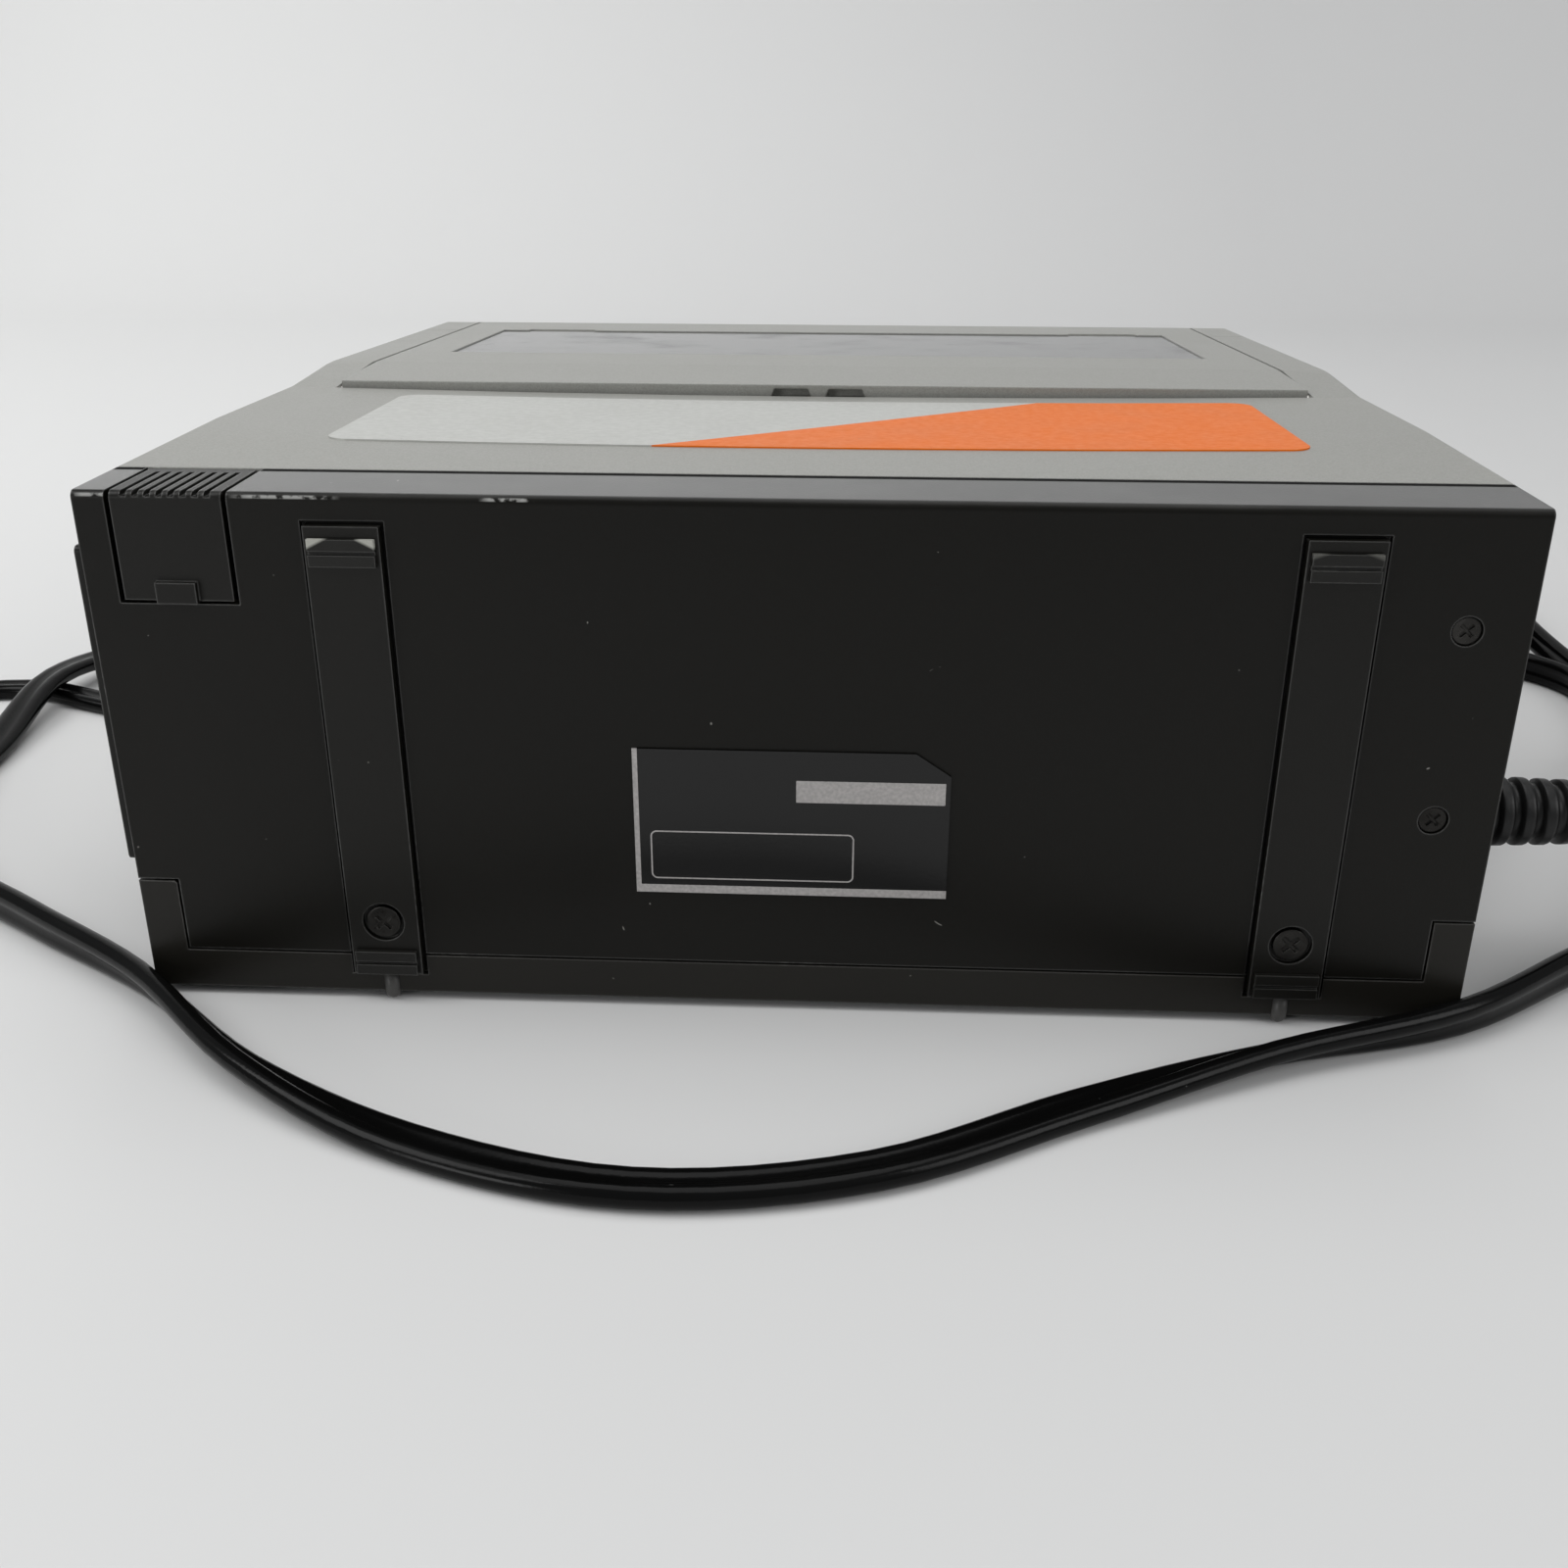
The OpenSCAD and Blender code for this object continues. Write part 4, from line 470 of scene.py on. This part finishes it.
black_abs, *_ = moulded(
    "black_abs", (0.0062, 0.0058, 0.0046, 1), (0.20, 0.20, 0.19, 1), (0.11, 0.107, 0.098, 1), 0.34, 2400.0,
    0.000018, 0.8, film=0.12, Specular_IOR_Level=0.24,
)
dress(
    black_abs, "right_side_panel", "left_side_panel", "right_foot_rail", "left_foot_rail",
    "aerial_door", "battery_door",
)

# The rear shell is the same plastic, with pale marks along the top edge beside the aerial-switch door,
# partly chips and partly a painted highlight on the edge's rounding. Its return over the top is polished
# by hands, and painted dark along the seam at the cover as painted shade of the gap there.
shell_abs, tree, shader, base = moulded(
    "rear_shell_abs", (0.0050, 0.0046, 0.0034, 1), (0.24, 0.24, 0.23, 1), (0.22, 0.215, 0.20, 1), 0.34,
    2400.0, 0.000018, 0.9, film=0.08, specks=190.0, Specular_IOR_Level=0.20,
)
top_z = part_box("rear_shell")[1].z
seam_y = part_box("top_cover")[1].y
x, y, z = object_place(tree)
normal = add(tree, "ShaderNodeNewGeometry").outputs["Normal"]
leaning = add(tree, "ShaderNodeSeparateXYZ", [(0, normal)]).outputs[2]
# the pale marks, partly chips and partly a painted highlight, lie where the edge's rounding leans
# half-way between the rear and the top
off_middle = sums(tree, "ABSOLUTE", sums(tree, "SUBTRACT", leaning, 0.5))
near_top = ramp(tree, z, top_z - 0.002, top_z - 0.0015)
edge_zone = sums(tree, "MULTIPLY", ramp(tree, off_middle, 0.26, 0.10), near_top)
chips = ramp(tree, noise(tree, 650.0, 8.0), 0.43, 0.54)
glint_and_chip_spans = ((0.0755, 0.0085), (0.0425, 0.0042), (0.1035, 0.0040))  # x of the middle, half of the length
for middle, half in glint_and_chip_spans:
    away = sums(tree, "ABSOLUTE", sums(tree, "SUBTRACT", x, middle))
    glint_and_chip = sums(tree, "MULTIPLY", edge_zone, ramp(tree, away, half, 0.6 * half))
    base = mixed(tree, sums(tree, "MULTIPLY", glint_and_chip, chips), base, (0.30, 0.30, 0.29, 1))
# painted shade: a dark line on the return beside the cover stands in for the shadow in the seam's gap
seam_width, seam_fade = 0.0019, 0.0005
by_the_cover = ramp(tree, y, seam_y + seam_width + seam_fade, seam_y + seam_width)
seam_shade = sums(tree, "MULTIPLY", by_the_cover, ramp(tree, z, top_z - 0.0006, top_z - 0.0003))
base = mixed(tree, seam_shade, base, (0.0015, 0.0015, 0.0012, 1))
polish = sums(tree, "MULTIPLY", ramp(tree, leaning, 0.9, 0.99), sums(tree, "SUBTRACT", 0.85, seam_shade))
for socket, least in (("Roughness", seam_shade), ("Coat Weight", polish)):
    moulded_value = shader.inputs[socket].links[0].from_socket
    tree.links.new(sums(tree, "MAXIMUM", moulded_value, least), shader.inputs[socket])
tree.links.new(base, shader.inputs["Base Color"])
dress(shell_abs, "rear_shell")

# The tray under the case is a tougher black plastic, a little browner and more matt.
tray_abs, *_ = moulded(
    "tray_abs", (0.0120, 0.0110, 0.0088, 1), (0.17, 0.165, 0.155, 1), (0.11, 0.107, 0.098, 1), 0.38, 2000.0,
    0.00002, 0.6, film=0.12, Specular_IOR_Level=0.24,
)
dress(tray_abs, "bottom_shell")

# The top cover, the lid and the control face are moulded and then sprayed silver-grey: a satin paint
# full of fine metal flakes, which looks paler where it is seen at a low angle.
silver_paint, tree, shader, base = moulded(
    "silver_paint", (0.325, 0.325, 0.30, 1), (0.56, 0.56, 0.54, 1), (0.33, 0.325, 0.30, 1), 0.40, 5200.0,
    0.000012, 0.35, radius=0.0005, film=0.18, gleam=0.4, clouding=0.05, Metallic=0.35,
)
place = add(tree, "ShaderNodeTexCoord").outputs["Object"]
flakes = add(tree, "ShaderNodeTexVoronoi", [("Vector", place), ("Scale", 4200.0)]).outputs["Color"]
flake = ramp(tree, add(tree, "ShaderNodeSeparateColor", [(0, flakes)]).outputs[0], 0.0, 1.0)
flaked = mixed(tree, sums(tree, "MULTIPLY", flake, 0.16), base, (0.75, 0.75, 0.74, 1))
tree.links.new(flaked, shader.inputs["Base Color"])
dress(silver_paint, "top_cover", "cassette_lid", "front_panel")

# ---------------------------------------------------------------- rear panel
# Black rubber feet and rail pads are pressed into place. The pads are greyed by desks and carpets.
pad_rubber, tree, shader, base = moulded(
    "pad_rubber", (0.0075, 0.0072, 0.0060, 1), (0.16, 0.16, 0.15, 1), (0.10, 0.098, 0.09, 1), 0.36, 1600.0,
    0.00002, 0.9, radius=0.0003, film=0.1, Specular_IOR_Level=0.3,
)
# the upper corners of the top pads are worn through to pale rubber, most of all on the left rail
pads_low, pads_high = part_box("rail_pads")
x, y, z = object_place(tree)
pad_width = 0.0102
for pad_side, depth, strength in ((pads_high.x, 0.0022, 1.0), (pads_low.x + pad_width, 0.0016, 0.2)):
    away = sums(tree, "ABSOLUTE", sums(tree, "SUBTRACT", x, pad_side - pad_width / 2))
    hollow = ramp(tree, away, 0.0008, 0.5 * pad_width, 0.0, depth)
    above_wear = sums(tree, "SUBTRACT", z, sums(tree, "SUBTRACT", pads_high.z + 0.0008, hollow))
    on_pad = sums(tree, "LESS_THAN", away, 0.55 * pad_width)
    worn = sums(tree, "MULTIPLY", ramp(tree, above_wear, -0.0002, 0.0003, 0, strength), on_pad)
    base = mixed(tree, worn, base, (0.42, 0.42, 0.38, 1))
tree.links.new(base, shader.inputs["Base Color"])
dress(pad_rubber, "feet", "rail_pads")
dress(boot_rubber, "drive_belt", "pinch_roller")

# A round stud of grey translucent rubber is pushed into the tray below each rail, and steadies the
# case when it is tipped. It is a short upright pin with a domed lower end that meets the floor.
stud_radius, stud_top, stud_back = 0.0013, 0.0052, 0.0004
stud_rubber, tree, shader = new_finish("stud_rubber", Roughness=0.42, Specular_IOR_Level=0.4)
cloud = use(tree, grain, Bumps_per_metre=900.0, Depth=0.00001)
greys = mixed(tree, cloud["Height"], (0.045, 0.044, 0.042, 1), (0.085, 0.083, 0.08, 1))
tree.links.new(greys, shader.inputs["Base Color"])
tree.links.new(cloud["Normal"], shader.inputs["Normal"])
stud_low = 0.0002
quarter = np.radians(np.arange(15, 91, 15))
dome = np.stack([stud_radius * np.sin(quarter), stud_low + stud_radius * (1 - np.cos(quarter))], axis=1)
profile = np.concatenate([dome, [[stud_radius, stud_top]]])
around = np.radians(np.arange(0, 360, 15))
circle = np.stack([np.cos(around), np.sin(around)], axis=1)
for side_name in ("right", "left"):
    rail_low, rail_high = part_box(f"{side_name}_foot_rail")
    level = np.stack([
        np.full(len(profile), (rail_low.x + rail_high.x) / 2),
        np.full(len(profile), rear_y - stud_back), profile[:, 1],
    ], axis=1)
    rings = level[:, None, :] + np.pad(profile[:, :1, None] * circle, ((0, 0), (0, 0), (0, 1)))
    stud = skin_over(f"{side_name}_stud", rings, True, True)
    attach(stud, "case")
    stud.data.materials.append(stud_rubber)

# Cross-head screws, blackened by oxide and oil, with bright steel where the driver has slipped.


def metal(name, colour, roughness, brush, dark, dust_film=0.1, radius=0.0003):
    """Bare or plated metal: brushed along one way, darker in its patches, dusty on its upper side."""
    finish, tree, shader = new_finish(name, Metallic=1.0)
    place = add(tree, "ShaderNodeTexCoord").outputs["Object"]
    drawn = add(tree, "ShaderNodeMapping", [("Vector", place), ("Scale", brush)]).outputs[0]
    lines = noise(tree, 900.0, 4.0, drawn)
    edge = use(tree, edges, Radius=radius, Rubbed=0.5)
    base = mixed(tree, ramp(tree, noise(tree, 70.0, 5.0), 0.35, 0.7), colour, dark)
    base = mixed(tree, use(tree, dust, Film=dust_film)["Mask"], base, (0.2, 0.19, 0.17, 1))
    gloss = ramp(tree, lines, 0.3, 0.7, roughness - 0.07, roughness + 0.09)
    tree.links.new(base, shader.inputs["Base Color"])
    tree.links.new(gloss, shader.inputs["Roughness"])
    relief = add(tree, "ShaderNodeBump", [
        ("Height", lines), ("Distance", 0.00001), ("Normal", edge["Normal"]), ("Strength", 0.6),
    ])
    tree.links.new(relief.outputs["Normal"], shader.inputs["Normal"])
    return finish


black_steel = metal("black_steel", (0.07, 0.068, 0.064, 1), 0.30, (1, 1, 1), (0.02, 0.019, 0.018, 1))
dress(black_steel, "rail_screws", "case_screws")

# The plate is printed aluminium foil: gloss black, with bare silver left along the left and lower
# edges, in one blank field and in a thin rounded frame.


rounded_box, given, result = new_group(
    "rounded_box",
    [("Across", "Float", 0.0), ("Up", "Float", 0.0), ("Middle across", "Float", 0.0),
     ("Middle up", "Float", 0.0), ("Half width", "Float", 0.01), ("Half height", "Float", 0.01),
     ("Corner", "Float", 0.001)],
    [("Distance", "Float")],
)


def past_side(at, middle, half):
    """How far a point lies past the straight part of a side, and below zero inside it."""
    away = sums(rounded_box, "ABSOLUTE", sums(rounded_box, "SUBTRACT", given[at], given[middle]))
    return sums(rounded_box, "SUBTRACT", away, sums(rounded_box, "SUBTRACT", given[half], given["Corner"]))


past = past_side("Across", "Middle across", "Half width"), past_side("Up", "Middle up", "Half height")
squares = [sums(rounded_box, "POWER", sums(rounded_box, "MAXIMUM", part, 0.0), 2.0) for part in past]
beyond = sums(rounded_box, "SQRT", sums(rounded_box, "ADD", *squares))
within = sums(rounded_box, "MINIMUM", sums(rounded_box, "MAXIMUM", *past), 0.0)
distance = sums(rounded_box, "SUBTRACT", sums(rounded_box, "ADD", beyond, within), given["Corner"])
rounded_box.links.new(distance, result.inputs["Distance"])

plate_low, plate_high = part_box("rating_plate")
plate_finish, tree, shader = new_finish("printed_foil", Specular_IOR_Level=0.4)
left_strip_width, low_strip_height, half_line = 0.0008, 0.0014, 0.00012
x, y, z = object_place(tree)
left_strip = sums(tree, "GREATER_THAN", x, plate_high.x - left_strip_width)
low_strip = sums(tree, "LESS_THAN", z, plate_low.z + low_strip_height)
to_field = use(
    tree, rounded_box, Across=x, Up=z, Middle_across=-0.01165, Middle_up=0.0396, Half_width=0.0116,
    Half_height=0.00185, Corner=0.0001,
)["Distance"]
to_frame = use(
    tree, rounded_box, Across=x, Up=z, Middle_across=0.0069, Middle_up=0.0282, Half_width=0.0160,
    Half_height=0.0041, Corner=0.0009,
)["Distance"]
field = sums(tree, "LESS_THAN", to_field, 0.0)
frame_line = sums(tree, "LESS_THAN", sums(tree, "ABSOLUTE", to_frame), half_line)
silver = left_strip
for mark in (low_strip, field, frame_line):
    silver = sums(tree, "MAXIMUM", silver, mark)
fine = use(tree, grain, Bumps_per_metre=1800.0, Depth=0.00001)
worn = ramp(tree, fine["Height"], 0.3, 0.75)
bright = mixed(tree, worn, (0.50, 0.48, 0.47, 1), (0.36, 0.345, 0.34, 1))
ink = mixed(tree, use(tree, dust, Film=0.1)["Mask"], (0.003, 0.003, 0.003, 1), (0.10, 0.098, 0.09, 1))
tree.links.new(mixed(tree, silver, ink, bright), shader.inputs["Base Color"])
tree.links.new(sums(tree, "MULTIPLY", silver, 0.6), shader.inputs["Metallic"])
tree.links.new(ramp(tree, silver, 0, 1, 0.22, 0.42), shader.inputs["Roughness"])
tree.links.new(fine["Normal"], shader.inputs["Normal"])
dress(plate_finish, "rating_plate")

# The sticker on the top: thin plastic film printed silver and orange, parted by one slanting line,
# under a clear layer that has begun to scuff.
sticker_low, sticker_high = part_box("top_sticker")
slant_near, slant_far = 0.0262, -0.0430  # x of the slanting line at the rear and the front edge
sticker_finish, tree, shader = new_finish("printed_film", Specular_IOR_Level=0.14)
x, y, z = object_place(tree)
slant = ramp(tree, y, sticker_high.y, sticker_low.y, slant_near, slant_far)
orange = sums(tree, "LESS_THAN", x, slant)
scuffs = use(tree, grain, Bumps_per_metre=700.0, Depth=0.000004)
uneven = ramp(tree, scuffs["Height"], 0.3, 0.7)
silver_print = mixed(tree, uneven, (0.60, 0.605, 0.58, 1), (0.56, 0.565, 0.54, 1))
orange_print = mixed(tree, uneven, (0.80, 0.168, 0.006, 1), (0.77, 0.158, 0.005, 1))
base = mixed(tree, orange, silver_print, orange_print)
base = mixed(tree, use(tree, dust, Film=0.08)["Mask"], base, (0.3, 0.28, 0.25, 1))
tree.links.new(base, shader.inputs["Base Color"])
tree.links.new(ramp(tree, orange, 0, 1, 0.45, 0.0), shader.inputs["Metallic"])
tree.links.new(ramp(tree, scuffs["Height"], 0.3, 0.7, 0.34, 0.46), shader.inputs["Roughness"])
tree.links.new(scuffs["Normal"], shader.inputs["Normal"])
dress(sticker_finish, "top_sticker")

# Behind the aerial-switch door: a soldered tin box with a white slide switch in its face.
zinc_plate = metal("zinc_plate", (0.62, 0.60, 0.50, 1), 0.34, (1, 1, 1), (0.48, 0.45, 0.36, 1))
dress(zinc_plate, "rf_converter", "deck_plate", "drum_base")
white_knob, *_ = moulded(
    "white_nylon", (0.62, 0.60, 0.54, 1), (0.7, 0.69, 0.66, 1), (0.4, 0.38, 0.33, 1), 0.45, 1800.0,
    0.00002, 0.3, radius=0.0002,
)
dress(white_knob, "channel_switch")

# Steel strap eyes, pressed from sheet and nickel plated, are screwed to the side panels.
nickel = metal("nickel_plate", (0.60, 0.59, 0.56, 1), 0.27, (1, 1, 1), (0.45, 0.44, 0.41, 1))
dress(nickel, "strap_eyes", "lid_hinge_pins", "camera_socket", "pinch_arm")

# ---------------------------------------------------------------- lid
# The window is a panel of smoked acrylic, polished on both faces, glued into its seat in the lid.
smoked, tree, shader = new_finish(
    "smoked_acrylic", Base_Color=(0.16, 0.16, 0.165, 1), Transmission_Weight=0.72, IOR=1.49,
)
scuffs = use(tree, grain, Bumps_per_metre=260.0, Depth=0.000004)
dusty = ramp(tree, use(tree, dust, Film=0.3)["Mask"], 0, 1, 0.06, 0.6)
haze = sums(tree, "MAXIMUM", ramp(tree, scuffs["Height"], 0.55, 0.9, 0.06, 0.22), dusty)
tree.links.new(haze, shader.inputs["Roughness"])
tree.links.new(scuffs["Normal"], shader.inputs["Normal"])
dress(smoked, "lid_window")

# The cassette holder is folded from bright zinc-plated steel sheet and riveted under the lid.
holder_steel = metal("holder_steel", (0.56, 0.56, 0.55, 1), 0.30, (0.08, 1, 1), (0.42, 0.42, 0.41, 1))
dress(holder_steel, "cassette_holder")

# ---------------------------------------------------------------- deck
# The drums are turned from aluminium and polished; fine tool marks run round the tilted axis.


def turned(name, colour, roughness, middle, rings_per_metre):
    """Turned metal: fine rings round an upright axis through a middle."""
    finish, tree, shader = new_finish(name, Metallic=1.0)
    place = add(tree, "ShaderNodeTexCoord").outputs["Object"]
    shift = (-middle[0], -middle[1], 0)
    around_axis = add(tree, "ShaderNodeMapping", [("Vector", place), ("Location", shift)]).outputs[0]
    x, y, z = add(tree, "ShaderNodeSeparateXYZ", [(0, around_axis)]).outputs
    squares = [sums(tree, "POWER", part, 2.0) for part in (x, y)]
    out = sums(tree, "SQRT", sums(tree, "ADD", *squares))
    wave = sums(tree, "MULTIPLY", sums(tree, "ADD", out, z), rings_per_metre)
    links = [("W", wave), ("Scale", 1.0), ("Detail", 3.0)]
    marks = add(tree, "ShaderNodeTexNoise", links, noise_dimensions="1D").outputs["Fac"]
    edge = use(tree, edges, Radius=0.0003, Rubbed=0.3)
    darker = tuple(0.8 * part for part in colour[:3]) + (1,)
    base = mixed(tree, ramp(tree, marks, 0.35, 0.65), darker, colour)
    tree.links.new(base, shader.inputs["Base Color"])
    tree.links.new(ramp(tree, marks, 0.3, 0.7, roughness, roughness + 0.12), shader.inputs["Roughness"])
    relief = add(tree, "ShaderNodeBump", [
        ("Height", marks), ("Distance", 0.000008), ("Normal", edge["Normal"]), ("Strength", 0.7),
    ])
    tree.links.new(relief.outputs["Normal"], shader.inputs["Normal"])
    return finish


def middle_of(name):
    """Middle of a CAD node in x and y."""
    low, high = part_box(name)
    return ((low.x + high.x) / 2, (low.y + high.y) / 2)


alloy = turned("turned_aluminium", (0.72, 0.72, 0.71, 1), 0.16, middle_of("lower_drum"), 5200.0)
dress(alloy, "lower_drum", "upper_drum")
capstan_steel = turned("ground_steel", (0.58, 0.58, 0.58, 1), 0.14, middle_of("capstan"), 4000.0)
dress(capstan_steel, "capstan", "tape_guides", "tape_heads")
brass = turned("turned_brass", (0.62, 0.44, 0.18, 1), 0.24, middle_of("motor_pulley"), 3600.0)
dress(brass, "motor_pulley", "capstan_bearing", "av_jacks")
motor_can = turned("motor_can", (0.50, 0.50, 0.49, 1), 0.3, middle_of("capstan_motor"), 2600.0)
dress(motor_can, "capstan_motor")

# Reel tables and the idler are moulded in black acetal, slightly waxy, with no paint.
acetal, *_ = moulded(
    "black_acetal", (0.020, 0.020, 0.020, 1), (0.1, 0.1, 0.1, 1), (0.14, 0.135, 0.12, 1), 0.34, 1400.0,
    0.000012, 0.3, film=0.1,
)
dress(acetal, "supply_reel", "take_up_reel", "idler_wheel")

# Circuit boards: green lacquer over copper tracks, black chips and blue-sleeved capacitors on top.


def board_finish(name, parts_low, caps_low):
    """Circuit board. Height in the case parts the lacquer, the chips and the taller capacitors."""
    finish, tree, shader = new_finish(name, Coat_Weight=0.2)
    place = add(tree, "ShaderNodeTexCoord").outputs["Object"]
    z = add(tree, "ShaderNodeSeparateXYZ", [(0, place)]).outputs[2]
    tracks = add(tree, "ShaderNodeTexBrick", [
        ("Vector", place), ("Scale", 130.0), ("Mortar Size", 0.09), ("Color1", (0.022, 0.13, 0.055, 1)),
        ("Color2", (0.03, 0.16, 0.07, 1)), ("Mortar", (0.012, 0.075, 0.032, 1)),
    ]).outputs["Color"]
    chip = sums(tree, "GREATER_THAN", z, parts_low)
    cap = sums(tree, "GREATER_THAN", z, caps_low)
    base = mixed(tree, chip, tracks, (0.014, 0.014, 0.014, 1))
    base = mixed(tree, cap, base, (0.02, 0.045, 0.12, 1))
    base = mixed(tree, use(tree, dust, Film=0.4)["Mask"], base, (0.2, 0.19, 0.16, 1))
    tree.links.new(base, shader.inputs["Base Color"])
    tree.links.new(ramp(tree, chip, 0, 1, 0.28, 0.5), shader.inputs["Roughness"])
    tree.links.new(use(tree, edges, Radius=0.0003, Rubbed=0.0)["Normal"], shader.inputs["Normal"])
    return finish


main_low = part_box("main_board")[0].z
nothing_above = 1.0
dress(board_finish("main_board_lacquer", main_low + 0.0017, main_low + 0.0048), "main_board")
dress(board_finish("key_board_lacquer", nothing_above, nothing_above), "key_board")

# The battery pack is a dark grey moulded box of lead-acid cells, with two brass contacts at its end.
pack_plastic, *_ = moulded(
    "pack_plastic", (0.035, 0.036, 0.040, 1), (0.2, 0.2, 0.2, 1), (0.17, 0.165, 0.15, 1), 0.5, 1500.0,
    0.00003, 0.6,
)
dress(pack_plastic, "battery_pack")

# ---------------------------------------------------------------- controls
# Keys, power switch and knob are moulded in the case's black plastic and polished by fingers; the
# recording key is red, and the display's window is dark smoked acrylic.
key_abs, *_ = moulded(
    "key_abs", (0.021, 0.0205, 0.019, 1), (0.2, 0.2, 0.19, 1), (0.15, 0.145, 0.13, 1), 0.33, 2000.0,
    0.000015, 0.7,
)
dress(
    key_abs, "eject_key", "rewind_key", "stop_key", "play_key", "forward_key", "pause_key", "power_switch",
    "tracking_knob",
)
red_abs, *_ = moulded(
    "red_abs", (0.36, 0.022, 0.014, 1), (0.5, 0.2, 0.16, 1), (0.3, 0.2, 0.17, 1), 0.33, 2000.0, 0.000015, 0.5,
)
dress(red_abs, "record_key")
display_acrylic, tree, shader = new_finish("display_acrylic", Coat_Weight=0.6, Coat_Roughness=0.05)
scuffs = use(tree, grain, Bumps_per_metre=240.0, Depth=0.000004)
base = mixed(tree, use(tree, dust, Film=0.2)["Mask"], (0.006, 0.006, 0.007, 1), (0.15, 0.145, 0.13, 1))
tree.links.new(base, shader.inputs["Base Color"])
tree.links.new(ramp(tree, scuffs["Height"], 0.4, 0.8, 0.07, 0.2), shader.inputs["Roughness"])
tree.links.new(scuffs["Normal"], shader.inputs["Normal"])
dress(display_acrylic, "display_window")
